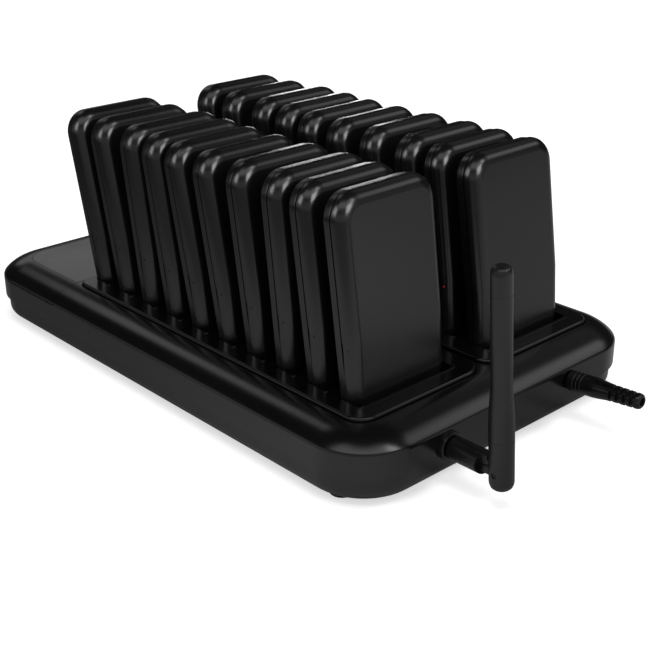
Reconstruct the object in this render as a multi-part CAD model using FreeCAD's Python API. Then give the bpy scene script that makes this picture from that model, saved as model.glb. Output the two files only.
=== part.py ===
import FreeCAD, Part

import math
import os
from FreeCAD import Vector

# Guest pager system: a low charging base with two deck trays, twenty lean pagers standing in
# tilted pockets, a console end with a touch keypad and display, a tilt and swivel antenna and
# a push-in power plug.  Millimetres, +Z up.  The base stands on z = 0 with its long side on X,
# the console at -X and the connectors at +X.  Everything is built about the centre of the
# base and moved, as it is written out, so that the origin is the middle of the whole outline.

# ---------------------------------------------------------------- base shells
base_length = 353.0
base_width = 221.5
base_corner_radius = 34.0
shell_wall = 2.5
underside_z = 2.0
bottom_edge_chamfer = 7.0
hollow_edge_chamfer = 5.5
skirt_bottom_z = 16.0
shoulder_foot_z = 28.4
shell_top_z = 38.0
shoulder_run = 19.0
skirt_edge_radius = 3.0
bottom_shell_inset = 2.0
lap_height = 3.0
lap_clearance = 0.2
cut_overshoot = 1.0
same_place = 0.001

# ---------------------------------------------------------------- console end
console_length = 83.7
cover_gap = 0.3
cover_seam_height = 0.5
cover_seam_depth = 1.0
cover_heel_land = 2.5
panel_thickness = 1.0
panel_gap = 0.25
panel_margin = 0.6
window_length = 24.0
window_width = 44.0
window_side_offset = 50.75
window_ledge = 1.5
main_board_length = 52.0
main_board_margin = 6.75
display_gap = 0.3
cover_post_side = 6.0
cover_post_height = 4.9
cover_post_inset = 6.0

# ---------------------------------------------------------------- deck trays
tray_front_margin = 1.5
tray_rear_margin = 20.1
tray_side_margin = 18.45
tray_inner_y = 2.0
tray_top_z = 40.0
tray_front_radius = 7.0
tray_rear_radius = 11.0
tray_edge_chamfer = 1.2
tray_gap = 0.6
ledge_thickness = 2.5
ledge_width = 1.2
ledge_land = 2.5

# ---------------------------------------------------------------- pagers and their pockets
pagers_per_row = 10
first_pager_offset = 10.4
last_pager_offset = 19.23
row_offset = 0.85
pager_width = 64.0
pager_thickness = 14.0
pager_height_above_deck = 101.5
pager_depth_in_pocket = 12.0
pager_corner_radius = 14.0
pager_foot_chamfer = 6.0
pager_face_chamfer = 4.5
back_cover_thickness = 3.5
back_cover_inset = 0.5
pocket_tilt = 9.5
pocket_face_gap = 0.9
pocket_side_gap = 0.5
pocket_floor_gap = 0.6
pocket_wall = 1.6
# Each pager stands at its own small angle in its pocket, from the console end to the rear.
near_row_lean_angles = (12.6, 11.7, 7.9, 9.8, 11.8, 11.1, 8.6, 6.2, 8.1, 8.0)
far_row_lean_angles = (12.0, 11.0, 7.7, 9.2, 11.4, 11.0, 8.9, 6.8, 8.3, 9.0)

# ---------------------------------------------------------------- charging board
board_thickness = 1.6
charging_board_z = 18.5
charging_board_margin = 4.0
contact_width = 3.0
contact_thickness = 0.8
contact_spacing = 16.0
contact_gap = 0.5
contact_window_margin = 1.5
board_post_side = 6.0
board_post_inset = 6.0

# ---------------------------------------------------------------- feet and screws
foot_radius = 6.5
front_foot_offset = 47.0
rear_foot_offset = 28.5
foot_side_offset = 14.75
screw_corner_offset = 19.0
screw_shank_radius = 1.45
screw_pilot_radius = 1.5
screw_clearance_radius = 1.8
screw_head_radius = 3.0
screw_head_height = 2.0
screw_head_gap = 0.4
screw_head_seat_z = 5.5
screw_length = 12.0
screw_tip_gap = 1.0
boss_side = 7.0
screw_pillar_side = 10.0
boss_joint_z = 8.0

# ---------------------------------------------------------------- antenna
antenna_side_offset = 59.75
antenna_z = 20.5
antenna_rest_swivel = 5.1
stud_radius = 3.2
stud_length = 20.0
stud_hole_gap = 0.2
stud_end_gap = 0.5
socket_flange_radius = 4.4
socket_flange_length = 2.5
nut_radius = 7.7
nut_length = 2.8
barrel_radius = 6.15
barrel_gap = 0.6
barrel_length = 18.0
barrel_chamfer = 0.5
running_clearance = 0.05
hinge_reach = 11.8
tongue_thickness = 5.0
tongue_half_height = 3.9
hinge_pin_radius = 1.5
hinge_pin_recess = 0.4
whip_base_radius = 6.3
whip_tip_radius = 4.75
whip_below_hinge = 11.5
whip_straight_height = 28.0
whip_taper_height = 17.0
whip_above_hinge = 108.0
whip_tip_chamfer = 1.5
whip_foot_chamfer = 2.5
whip_slot_gap = 0.3

# ---------------------------------------------------------------- radio module
radio_length = 15.0
radio_width = 34.0
radio_board_z = 9.0
radio_wall_gap = 5.5
radio_can_height = 4.0
radio_can_margin = 2.0
radio_post_spacing = 24.0

# ---------------------------------------------------------------- power jack and plug
jack_side_offset = 64.25
jack_z = 22.9
jack_bore_radius = 3.7
jack_bore_depth = 10.0
jack_collar_radius = 5.0
jack_collar_gap = 0.2
jack_mouth_inset = 0.2
jack_body_length = 12.0
jack_body_width = 14.0
jack_body_height = 8.0
jack_pin_radius = 0.6
jack_pin_inset = 2.0
jack_pedestal_width = 8.0
lap_notch_gap = 0.5
plug_lift = 4.5
plug_reach = 47.2
plug_front_gap = 0.8
plug_barrel_radius = 2.75
plug_barrel_bore = 1.4
plug_barrel_length = 9.0
plug_body_radius = 5.6
plug_body_length = 20.0
plug_taper_length = 7.0
relief_radius = 4.6
relief_end_radius = 4.1
relief_spine_height = 2.4
relief_slot_count = 4
relief_slot_width = 1.6
relief_slot_floor = 2.6
relief_end_chamfer = 1.2

# ---------------------------------------------------------------- worked-out places
X_AXIS = Vector(1, 0, 0)
Y_AXIS = Vector(0, 1, 0)
Z_AXIS = Vector(0, 0, 1)
ORIGIN = Vector(0, 0, 0)
BEYOND = 2 * base_length
rear_wall_x = base_length / 2
console_crease_x = console_length - base_length / 2
tray_front_x = console_crease_x + tray_front_margin
tray_rear_x = rear_wall_x - tray_rear_margin
tray_length = tray_rear_x - tray_front_x
tray_outer_y = base_width / 2 - tray_side_margin
row_y = (tray_inner_y + tray_outer_y) / 2 + row_offset
first_pager_x = tray_front_x + first_pager_offset
pager_pitch = (tray_length - first_pager_offset - last_pager_offset) / (pagers_per_row - 1)
tray_centre_x = tray_front_x + tray_length / 2
ledge_top_z = shell_top_z - shell_wall
floor_top_z = underside_z + shell_wall
cover_edge_x = console_crease_x - cover_gap
panel_seat_z = shell_top_z - panel_thickness
panel_front_x = shoulder_run - base_length / 2
panel_rear_x = cover_edge_x - panel_margin
panel_centre_x = (panel_front_x + panel_rear_x) / 2
panel_half_width = base_width / 2 - shoulder_run
window_centre_y = base_width / 2 - window_side_offset
main_board_width = 2 * (panel_half_width - main_board_margin)
board_top_z = charging_board_z + board_thickness
main_board_top_z = ledge_top_z - cover_post_height
barrel_x = rear_wall_x + nut_length + barrel_gap
hinge_x = barrel_x + barrel_length + hinge_reach
antenna_y = antenna_side_offset - base_width / 2
jack_y = base_width / 2 - jack_side_offset
swivel_point = Vector(0, antenna_y, antenna_z)
hinge_point = Vector(hinge_x, antenna_y, antenna_z)
radio_x = rear_wall_x - shell_wall - radio_wall_gap - radio_length / 2
plug_point = Vector(rear_wall_x, jack_y, jack_z)
plug_tilt = math.radians(plug_lift)
plug_tip_reach = max(
    plug_reach * math.cos(plug_tilt)
    + (relief_end_radius - relief_end_chamfer) * math.sin(plug_tilt),
    (plug_reach - relief_end_chamfer) * math.cos(plug_tilt)
    + relief_end_radius * math.sin(plug_tilt))
centre_shift = Vector(-plug_tip_reach / 2, 0, 0)


# ---------------------------------------------------------------- shared shapes
def block(low, high):
    """Box between two corners."""
    size = high - low
    return Part.makeBox(size.x, size.y, size.z, low)


def block_about(centre, length, width, low_z, high_z):
    """Box about a plan centre, between two heights."""
    half = Vector(length / 2, width / 2, 0)
    return block(centre - half + Z_AXIS * low_z, centre + half + Z_AXIS * high_z)


def edges_along(shape, axis):
    """Straight edges of a shape that run along one axis."""
    found = []
    for edge in shape.Edges:
        run = edge.Vertexes[-1].Point - edge.Vertexes[0].Point
        if run.Length > 0 and run.normalize().cross(axis).Length < same_place:
            found.append(edge)
    return found


def edges_at(shape, axis, level):
    """Edges of a shape that lie whole in the plane across an axis at a level."""
    return [edge for edge in shape.Edges
            if all(abs(vertex.Point.dot(axis) - level) < same_place for vertex in edge.Vertexes)]


def rounded_block(low, high, radius, axis=Z_AXIS):
    """Box whose four edges along an axis are rounded."""
    solid = block(low, high)
    return solid.makeFillet(radius, edges_along(solid, axis))


def base_slab(inset, low_z, high_z):
    """Plan outline of the base, moved inward by an inset, between two heights."""
    low = Vector(inset - base_length / 2, inset - base_width / 2, low_z)
    high = Vector(base_length / 2 - inset, base_width / 2 - inset, high_z)
    return rounded_block(low, high, base_corner_radius - inset)


def rod(radius, start, end):
    """Cylinder between two points."""
    run = end - start
    return Part.makeCylinder(radius, run.Length, start, run)


def post(radius, place, low_z, high_z):
    """Upright cylinder at a plan position."""
    return rod(radius, place + Z_AXIS * low_z, place + Z_AXIS * high_z)


def turned(points):
    """Solid turned about +Z from a closed list of (radius, height) points."""
    corners = [Vector(radius, 0, height) for radius, height in points]
    wire = Part.makePolygon(corners + corners[:1])
    return Part.Face(wire).revolve(ORIGIN, Z_AXIS, 360)


def write(name, shape):
    """Move a finished sub-part into the part's frame and write it out."""
    placed = shape.copy()
    placed.translate(centre_shift)
    placed.exportStep(os.path.join("parts", name + ".step"))


# ---------------------------------------------------------------- plan positions
def screw_places():
    """The four case screws, one near each corner."""
    reach_x = base_length / 2 - screw_corner_offset
    reach_y = base_width / 2 - screw_corner_offset
    return [Vector(end * reach_x, side * reach_y, 0) for end in (-1, 1) for side in (-1, 1)]


def foot_places():
    """The four rubber feet."""
    reach_y = base_width / 2 - foot_side_offset
    return [Vector(x, side * reach_y, 0)
            for x in (front_foot_offset - base_length / 2, base_length / 2 - rear_foot_offset)
            for side in (-1, 1)]


def board_post_places():
    """The six posts under the charging board."""
    reach_x = tray_length / 2 - charging_board_margin - board_post_inset
    reach_y = tray_outer_y - charging_board_margin - board_post_inset
    return [Vector(tray_centre_x + end * reach_x, side * reach_y, 0)
            for end in (-1, 0, 1) for side in (-1, 1)]


def radio_post_places():
    """The two posts under the radio module."""
    return [Vector(radio_x, antenna_y + side * radio_post_spacing / 2, 0) for side in (-1, 1)]


def cover_post_places():
    """The four posts that hang from the console cover and hold the main board."""
    reach_x = main_board_length / 2 - cover_post_inset
    reach_y = main_board_width / 2 - cover_post_inset
    return [Vector(panel_centre_x + end * reach_x, side * reach_y, 0)
            for end in (-1, 1) for side in (-1, 1)]


def pocket_frame(side, index, lean):
    """Placement of one pocket: its origin is on the deck, its Z leans toward the console."""
    place = Vector(first_pager_x + index * pager_pitch, side * row_y, tray_top_z)
    return FreeCAD.Placement(place, FreeCAD.Rotation(Y_AXIS, -lean))


# ---------------------------------------------------------------- base shells
def shoulder_arcs():
    """The shoulder's two arcs, from a corner's centre outward, and the points they run between.

    A tight arc above the skirt runs into a wide one that ends level with the deck.
    """
    rise = shell_top_z - shoulder_foot_z
    crown_radius = shoulder_run ** 2 + rise ** 2 - 2 * shoulder_run * skirt_edge_radius
    crown_radius /= 2 * (rise - skirt_edge_radius)
    edge_centre = Vector(base_corner_radius - skirt_edge_radius, 0, shoulder_foot_z)
    crown_centre = Vector(base_corner_radius - shoulder_run, 0, shell_top_z - crown_radius)
    join = math.atan2(edge_centre.z - crown_centre.z, edge_centre.x - crown_centre.x)

    def edge_point(angle):
        return edge_centre + Vector(math.cos(angle), 0, math.sin(angle)) * skirt_edge_radius

    def crown_point(angle):
        return crown_centre + Vector(math.cos(angle), 0, math.sin(angle)) * crown_radius

    upright = math.pi / 2
    meet = edge_point(join)
    edges = [Part.Arc(edge_point(0), edge_point(join / 2), meet).toShape(),
             Part.Arc(meet, crown_point((join + upright) / 2), crown_point(upright)).toShape()]
    return edges, edge_point(0), crown_point(upright)


def inner_shoulder(inset):
    """Straight shoulder of the hollow, which leaves at least the inset under the two arcs."""
    foot = Vector(base_corner_radius - inset, 0, shoulder_foot_z)
    top = Vector(base_corner_radius - shoulder_run, 0, shell_top_z - inset)
    return [Part.makeLine(foot, top)], foot, top


def base_form(shoulder, low_z):
    """Solid with the base's plan and a given shoulder: corners turned, sides drawn out."""
    edges, foot, top = shoulder
    wall_low = Vector(foot.x, 0, low_z)
    axis_low = Vector(0, 0, low_z)
    axis_top = Vector(0, 0, top.z)
    section = Part.Face(Part.Wire([
        Part.makeLine(axis_low, wall_low),
        Part.makeLine(wall_low, foot),
        *edges,
        Part.makeLine(top, axis_top),
        Part.makeLine(axis_top, axis_low),
    ]))
    half_x = base_length / 2 - base_corner_radius
    half_y = base_width / 2 - base_corner_radius
    corners = [Vector(half_x, half_y, 0), Vector(-half_x, half_y, 0),
               Vector(-half_x, -half_y, 0), Vector(half_x, -half_y, 0)]
    pieces = []
    for quarter, corner in enumerate(corners):
        turned_section = section.copy()
        turned_section.rotate(ORIGIN, Z_AXIS, 90 * quarter)
        turned_section.translate(corner)
        pieces.append(turned_section.revolve(corner, Z_AXIS, 90))
        pieces.append(turned_section.extrude(corners[quarter - 1] - corner))
    core = block(corners[2] + Z_AXIS * low_z, corners[0] + Z_AXIS * top.z)
    return core.multiFuse(pieces).removeSplitter()


def crowned_block():
    """The base's outer form, from the skirt's lower edge to the deck."""
    return base_form(shoulder_arcs(), skirt_bottom_z)


def hollow_block(inset):
    """The inside of the shells, moved inward by an inset."""
    return base_form(inner_shoulder(inset), skirt_bottom_z - cut_overshoot)


def tray_outline(grow, low_z, high_z, side):
    """Plan outline of a deck tray, grown all round, on the near (-1) or far (+1) side."""
    edges_y = sorted((side * (tray_inner_y - grow), side * (tray_outer_y + grow)))
    solid = block(Vector(tray_front_x - grow, edges_y[0], low_z),
                  Vector(tray_rear_x + grow, edges_y[1], high_z))
    for radius, at_rear in ((tray_front_radius, False), (tray_rear_radius, True)):
        corners = [edge for edge in edges_along(solid, Z_AXIS)
                   if (edge.Vertexes[0].X > tray_centre_x) == at_rear]
        solid = solid.makeFillet(radius + grow, corners)
    return solid


def console_side(low_z, high_z, edge_x):
    """Everything on the console's side of an edge, between two heights."""
    return block(Vector(-BEYOND, -BEYOND, low_z), Vector(edge_x, BEYOND, high_z))


def screw_pilot(place):
    """Hole that a case screw bites into."""
    return post(screw_pilot_radius, place, boss_joint_z - cut_overshoot,
                screw_head_seat_z + screw_length + screw_tip_gap)


def boss(place):
    """Screw boss from the joint up into the shell above it."""
    column = block_about(place, boss_side, boss_side, boss_joint_z, shell_top_z)
    return column.common(base_form(inner_shoulder(shell_wall / 2), boss_joint_z))


def make_top_shell():
    """Skirt, crowned shoulder, the frame round both trays and the ledge that carries them."""
    shell = crowned_block().cut(hollow_block(shell_wall))
    shell = shell.cut(console_side(shoulder_foot_z, BEYOND, console_crease_x))
    ledge_reach = tray_outer_y + ledge_land
    ledge = block(Vector(console_crease_x, -ledge_reach, ledge_top_z - ledge_thickness),
                  Vector(tray_rear_x + ledge_land, ledge_reach, shell_top_z))
    ledge = ledge.common(hollow_block(shell_wall / 2))
    heel_reach = panel_half_width - cover_post_inset
    heel_land = block(Vector(console_crease_x - cover_heel_land, -heel_reach,
                             ledge_top_z - ledge_thickness),
                      Vector(console_crease_x, heel_reach, ledge_top_z))
    rear_screws = [place for place in screw_places() if place.x > console_crease_x]
    shell = shell.multiFuse([ledge, heel_land] + [boss(place) for place in rear_screws])
    cuts = [screw_pilot(place) for place in rear_screws]
    for side in (-1, 1):
        cuts.append(tray_outline(tray_gap, ledge_top_z, BEYOND, side))
        cuts.append(tray_outline(-ledge_width, skirt_bottom_z, BEYOND, side))
    cuts.append(connector_hole(antenna_y, antenna_z, stud_radius + stud_hole_gap))
    cuts.append(connector_hole(jack_y, jack_z, jack_collar_radius + jack_collar_gap))
    return shell.cut(cuts).removeSplitter()


def connector_hole(y, z, radius):
    """Round hole through the rear skirt."""
    return rod(radius, Vector(rear_wall_x - shell_wall - cut_overshoot, y, z),
               Vector(rear_wall_x + cut_overshoot, y, z))


def lap_notch(y, width):
    """Gap in the bottom shell's lip behind a connector."""
    reach_x = shell_wall + lap_clearance + shell_wall + cut_overshoot
    return block(Vector(rear_wall_x - reach_x, y - width / 2 - lap_notch_gap, skirt_bottom_z),
                 Vector(rear_wall_x, y + width / 2 + lap_notch_gap, BEYOND))


def pan_outline():
    """Outside of the floor pan, from its chamfered edge up to the skirt."""
    slab = base_slab(bottom_shell_inset, underside_z, skirt_bottom_z)
    return slab.makeChamfer(bottom_edge_chamfer, edges_at(slab, Z_AXIS, underside_z))


def make_bottom_shell():
    """Floor pan with a lip inside the skirt, screw pillars and board posts."""
    outline = pan_outline()
    lip = base_slab(shell_wall + lap_clearance, underside_z + bottom_edge_chamfer,
                    skirt_bottom_z + lap_height)
    hollow = base_slab(bottom_shell_inset + shell_wall, floor_top_z, BEYOND)
    hollow = hollow.makeChamfer(hollow_edge_chamfer, edges_at(hollow, Z_AXIS, floor_top_z))
    pan = outline.fuse(lip).cut(hollow)
    columns = [block_about(place, screw_pillar_side, screw_pillar_side, underside_z,
                           boss_joint_z).common(outline) for place in screw_places()]
    for places, top_z in ((board_post_places(), charging_board_z),
                          (radio_post_places(), radio_board_z)):
        columns += [block_about(place, board_post_side, board_post_side, underside_z, top_z)
                    for place in places]
    columns.append(block_about(jack_body_centre(), jack_pedestal_width, jack_pedestal_width,
                               underside_z, jack_z - jack_body_height / 2))
    pan = pan.multiFuse(columns)
    cuts = [lap_notch(antenna_y, 2 * socket_flange_radius), lap_notch(jack_y, jack_body_width)]
    for place in screw_places():
        cuts.append(post(screw_head_radius + screw_head_gap, place, 0, screw_head_seat_z))
        cuts.append(post(screw_clearance_radius, place, 0, boss_joint_z + cut_overshoot))
    return pan.cut(cuts).removeSplitter()


# ---------------------------------------------------------------- console end
def panel_outline(grow, low_z, high_z):
    """Flat top of the console inside the shoulder, grown all round."""
    half_width = panel_half_width + grow
    solid = block(Vector(panel_front_x - grow, -half_width, low_z),
                  Vector(panel_rear_x + grow, half_width, high_z))
    corners = [edge for edge in edges_along(solid, Z_AXIS)
               if edge.Vertexes[0].X < panel_centre_x]
    return solid.makeFillet(base_corner_radius - shoulder_run + grow, corners)


def window_outline(grow, low_z, high_z):
    """Display window, grown all round."""
    centre = Vector(panel_centre_x, window_centre_y, 0)
    return block_about(centre, window_length + 2 * grow, window_width + 2 * grow, low_z, high_z)


def make_console_cover():
    """Crowned cover over the console, with the keypad's recess and the main board's posts."""
    seam_top_z = shoulder_foot_z + cover_seam_height
    cover = crowned_block().common(console_side(seam_top_z, BEYOND, cover_edge_x))
    lip = base_slab(cover_seam_depth, shoulder_foot_z, seam_top_z)
    lip = lip.common(console_side(shoulder_foot_z, seam_top_z, cover_edge_x))
    cover = cover.fuse(lip).cut(hollow_block(shell_wall))
    front_screws = [place for place in screw_places() if place.x < console_crease_x]
    posts = [block_about(place, cover_post_side, cover_post_side, main_board_top_z,
                         panel_seat_z - panel_thickness / 2) for place in cover_post_places()]
    cover = cover.multiFuse(posts + [boss(place) for place in front_screws])
    cuts = [screw_pilot(place) for place in front_screws]
    cuts.append(panel_outline(panel_gap, panel_seat_z, BEYOND))
    cuts.append(window_outline(-window_ledge, skirt_bottom_z, BEYOND))
    return cover.cut(cuts).removeSplitter()


def make_keypad_panel():
    """Thin touch panel, flush in the cover, with a cut-out for the display window."""
    panel = panel_outline(0, panel_seat_z, shell_top_z)
    return panel.cut(window_outline(panel_gap, underside_z, BEYOND))


def make_display_window():
    """Clear window that rests on the edge of the cover's opening, level with the keypad."""
    return window_outline(0, panel_seat_z, shell_top_z)


def make_main_board():
    """Main board against the cover's posts, with the display standing under its window."""
    centre = Vector(panel_centre_x, 0, 0)
    board = block_about(centre, main_board_length, main_board_width,
                        main_board_top_z - board_thickness, main_board_top_z)
    display = window_outline(window_ledge, main_board_top_z - board_thickness / 2,
                             ledge_top_z - display_gap)
    return board.fuse(display).removeSplitter()


# ---------------------------------------------------------------- deck trays
def pocket_block(side, index, grow, low, high):
    """Tilted block the shape of one pager pocket, grown all round, between two depths."""
    half_x = pager_thickness / 2 + pocket_face_gap + grow
    half_y = pager_width / 2 + pocket_side_gap + grow
    solid = block(Vector(-half_x, -half_y, low), Vector(half_x, half_y, high))
    solid.Placement = pocket_frame(side, index, pocket_tilt)
    return solid


def contact_window(side, index, floor):
    """Opening in a pocket's floor that both contact leaves come up through."""
    half_x = contact_thickness / 2 + contact_window_margin
    half_y = (contact_spacing + contact_width) / 2 + contact_window_margin
    solid = block(Vector(-half_x, -half_y, floor - 2 * pocket_wall), Vector(half_x, half_y, 0))
    solid.Placement = pocket_frame(side, index, pocket_tilt)
    return solid


def make_tray(side):
    """Deck tray: a plate with ten tilted pockets that hang from it as thin cups."""
    floor = -(pager_depth_in_pocket + pocket_floor_gap)
    tray = tray_outline(0, ledge_top_z, tray_top_z, side)
    tray = tray.makeChamfer(tray_edge_chamfer, edges_at(tray, Z_AXIS, tray_top_z))
    row = range(pagers_per_row)
    cups = [pocket_block(side, index, pocket_wall, floor - pocket_wall, -pocket_wall)
            for index in row]
    tray = tray.multiFuse(cups)
    cuts = [pocket_block(side, index, 0, floor, pager_depth_in_pocket) for index in row]
    cuts += [contact_window(side, index, floor) for index in row]
    return tray.cut(cuts).removeSplitter()


# ---------------------------------------------------------------- pagers
def pager_block(low_x, high_x, inset):
    """Slab of the pager's outline between two depths, in the pager's own frame.

    The two upper corners are round and the two lower ones, which enter the pocket, are cut off.
    """
    half_width = pager_width / 2 - inset
    solid = block(Vector(low_x, -half_width, inset - pager_depth_in_pocket),
                  Vector(high_x, half_width, pager_height_above_deck - inset))
    lower = [edge for edge in edges_along(solid, X_AXIS) if edge.Vertexes[0].Z < 0]
    solid = solid.makeChamfer(pager_foot_chamfer, lower)
    upper = [edge for edge in edges_along(solid, X_AXIS)
             if edge.Vertexes[0].Z > pager_height_above_deck - pager_corner_radius]
    return solid.makeFillet(pager_corner_radius - inset, upper)


def make_pager():
    """Front shell and back cover of one pager.

    The front's edge is cut back all round, and the back cover is a little smaller than the
    front, so that a shadow line runs round the pager where they meet.
    """
    back_x = -pager_thickness / 2
    face_x = pager_thickness / 2
    parting_x = back_x + back_cover_thickness
    shell = pager_block(parting_x, face_x, 0)
    shell = shell.makeChamfer(pager_face_chamfer, edges_at(shell, X_AXIS, face_x))
    back = pager_block(back_x, parting_x, back_cover_inset)
    return shell, back


def write_pagers():
    """Both rows of pagers, each at its own lean."""
    shell, back = make_pager()
    for row, side, leans in (("near", -1, near_row_lean_angles), ("far", 1, far_row_lean_angles)):
        for index, lean in enumerate(leans):
            for piece, solid in (("shell", shell), ("back", back)):
                placed = solid.copy()
                placed.Placement = pocket_frame(side, index, lean)
                write(f"{row}_pager_{index + 1:02d}_{piece}", placed)


# ---------------------------------------------------------------- charging board
def make_charging_board():
    """Flat board under both trays."""
    length = tray_length - 2 * charging_board_margin
    width = 2 * (tray_outer_y - charging_board_margin)
    return block_about(Vector(tray_centre_x, 0, 0), length, width, charging_board_z, board_top_z)


def make_charging_contacts():
    """Two upright leaves per pocket, from the board to just under the pager's foot."""
    leaves = []
    depth = pager_depth_in_pocket + contact_gap
    tilt = math.radians(pocket_tilt)
    for side in (-1, 1):
        for index in range(pagers_per_row):
            x = first_pager_x + index * pager_pitch + depth * math.sin(tilt)
            for end in (-1, 1):
                centre = Vector(x, side * row_y + end * contact_spacing / 2, 0)
                leaves.append(block_about(centre, contact_thickness, contact_width, board_top_z,
                                          tray_top_z - depth * math.cos(tilt)))
    return Part.makeCompound(leaves)


# ---------------------------------------------------------------- feet and screws
def make_feet():
    """Four rubber feet under the floor pan."""
    return Part.makeCompound([post(foot_radius, place, 0, underside_z)
                              for place in foot_places()])


def make_screws():
    """Four case screws, driven up from the floor pan."""
    screws = []
    for place in screw_places():
        head = post(screw_head_radius, place, screw_head_seat_z - screw_head_height,
                    screw_head_seat_z)
        shank = post(screw_shank_radius, place, screw_head_seat_z,
                     screw_head_seat_z + screw_length)
        screws.append(head.fuse(shank))
    return Part.makeCompound(screws)


# ---------------------------------------------------------------- antenna
def swivelled(shape):
    """Turn a piece of the antenna to its rest angle on the stud."""
    shape.rotate(swivel_point, X_AXIS, antenna_rest_swivel)
    return shape


def stud_rod(radius, start_x, end_x):
    """Cylinder on the antenna's swivel axis."""
    return rod(radius, Vector(start_x, antenna_y, antenna_z), Vector(end_x, antenna_y, antenna_z))


def make_antenna_socket():
    """Socket with a flange inside the rear wall and a stud that carries the antenna."""
    seat_x = rear_wall_x - shell_wall
    flange = stud_rod(socket_flange_radius, seat_x - socket_flange_length, seat_x)
    return flange.fuse(stud_rod(stud_radius, seat_x, seat_x + stud_length)).removeSplitter()


def make_antenna_nut():
    """Ring nut that clamps the socket to the outside of the rear wall."""
    nut = stud_rod(nut_radius, rear_wall_x, rear_wall_x + nut_length)
    return nut.cut(stud_rod(stud_radius + running_clearance, rear_wall_x - cut_overshoot,
                            barrel_x))


def make_antenna_barrel():
    """Swivelling knuckle: a barrel that turns on the stud, with the hinge's tongue."""
    barrel_end_x = barrel_x + barrel_length
    barrel = stud_rod(barrel_radius, barrel_x, barrel_end_x)
    barrel = barrel.makeChamfer(barrel_chamfer, edges_at(barrel, X_AXIS, barrel_end_x))
    half = Vector(0, tongue_thickness / 2, 0)
    rise = Vector(0, 0, tongue_half_height)
    root = Vector(barrel_end_x - barrel_chamfer, antenna_y, antenna_z)
    tongue = block(root - half - rise, hinge_point + half + rise)
    nose = rod(tongue_half_height, hinge_point - half, hinge_point + half)
    stud_end_x = rear_wall_x - shell_wall + stud_length
    bore = stud_rod(stud_radius + running_clearance, barrel_x - cut_overshoot,
                    stud_end_x + stud_end_gap)
    eye = rod(hinge_pin_radius + running_clearance, hinge_point - 2 * half, hinge_point + 2 * half)
    return swivelled(barrel.multiFuse([tongue, nose]).cut([bore, eye]).removeSplitter())


def make_antenna_whip():
    """Round whip on the hinge, with the slot that lets it tilt from upright to level."""
    taper_top = whip_straight_height + whip_taper_height
    whip = turned([
        (0, -whip_below_hinge),
        (whip_base_radius - whip_foot_chamfer, -whip_below_hinge),
        (whip_base_radius, whip_foot_chamfer - whip_below_hinge),
        (whip_base_radius, whip_straight_height),
        (whip_tip_radius, taper_top),
        (whip_tip_radius, whip_above_hinge - whip_tip_chamfer),
        (whip_tip_radius - whip_tip_chamfer, whip_above_hinge),
        (0, whip_above_hinge),
    ])
    slot_half = tongue_thickness / 2 + whip_slot_gap
    slot_radius = tongue_half_height + whip_slot_gap
    wide = 2 * whip_base_radius
    deep = 2 * whip_below_hinge
    whip = whip.cut([
        block(Vector(-wide, -slot_half, -deep), Vector(0, slot_half, slot_radius)),
        block(Vector(-wide, -slot_half, -deep), Vector(slot_radius, slot_half, 0)),
        rod(slot_radius, Vector(0, -slot_half, 0), Vector(0, slot_half, 0)),
        rod(hinge_pin_radius + running_clearance, Vector(0, -wide, 0), Vector(0, wide, 0)),
    ])
    whip.translate(hinge_point)
    return swivelled(whip)


def make_hinge_pin():
    """Pin across the whip's fork and the knuckle's tongue."""
    half = Vector(0, whip_base_radius - hinge_pin_recess, 0)
    return swivelled(rod(hinge_pin_radius, hinge_point - half, hinge_point + half))


# ---------------------------------------------------------------- radio module
def make_radio_module():
    """Small radio board behind the antenna socket, with its shielding can."""
    centre = Vector(radio_x, antenna_y, 0)
    top_z = radio_board_z + board_thickness
    board = block_about(centre, radio_length, radio_width, radio_board_z, top_z)
    can = block_about(centre, radio_length - 2 * radio_can_margin,
                      radio_width - 2 * radio_can_margin, top_z, top_z + radio_can_height)
    return board.fuse(can).removeSplitter()


# ---------------------------------------------------------------- power jack and plug
def jack_body_centre():
    """Plan centre of the jack's body, close behind the skirt."""
    return Vector(rear_wall_x - shell_wall - lap_clearance - jack_body_length / 2, jack_y, 0)


def jack_rod(radius, start_x, end_x):
    """Cylinder on the jack's axis."""
    return rod(radius, Vector(start_x, jack_y, jack_z), Vector(end_x, jack_y, jack_z))


def make_dc_jack():
    """Jack body on its pedestal, with a round collar through the skirt and a centre pin."""
    centre = jack_body_centre()
    front_x = centre.x + jack_body_length / 2
    mouth_x = rear_wall_x - jack_mouth_inset
    body = block_about(centre, jack_body_length, jack_body_width,
                       jack_z - jack_body_height / 2, jack_z + jack_body_height / 2)
    collar = jack_rod(jack_collar_radius, front_x, mouth_x)
    bore = jack_rod(jack_bore_radius, mouth_x - jack_bore_depth, BEYOND)
    pin = jack_rod(jack_pin_radius, mouth_x - jack_bore_depth - cut_overshoot,
                   mouth_x - jack_pin_inset)
    return body.fuse(collar).cut(bore).fuse(pin).removeSplitter()


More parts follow.
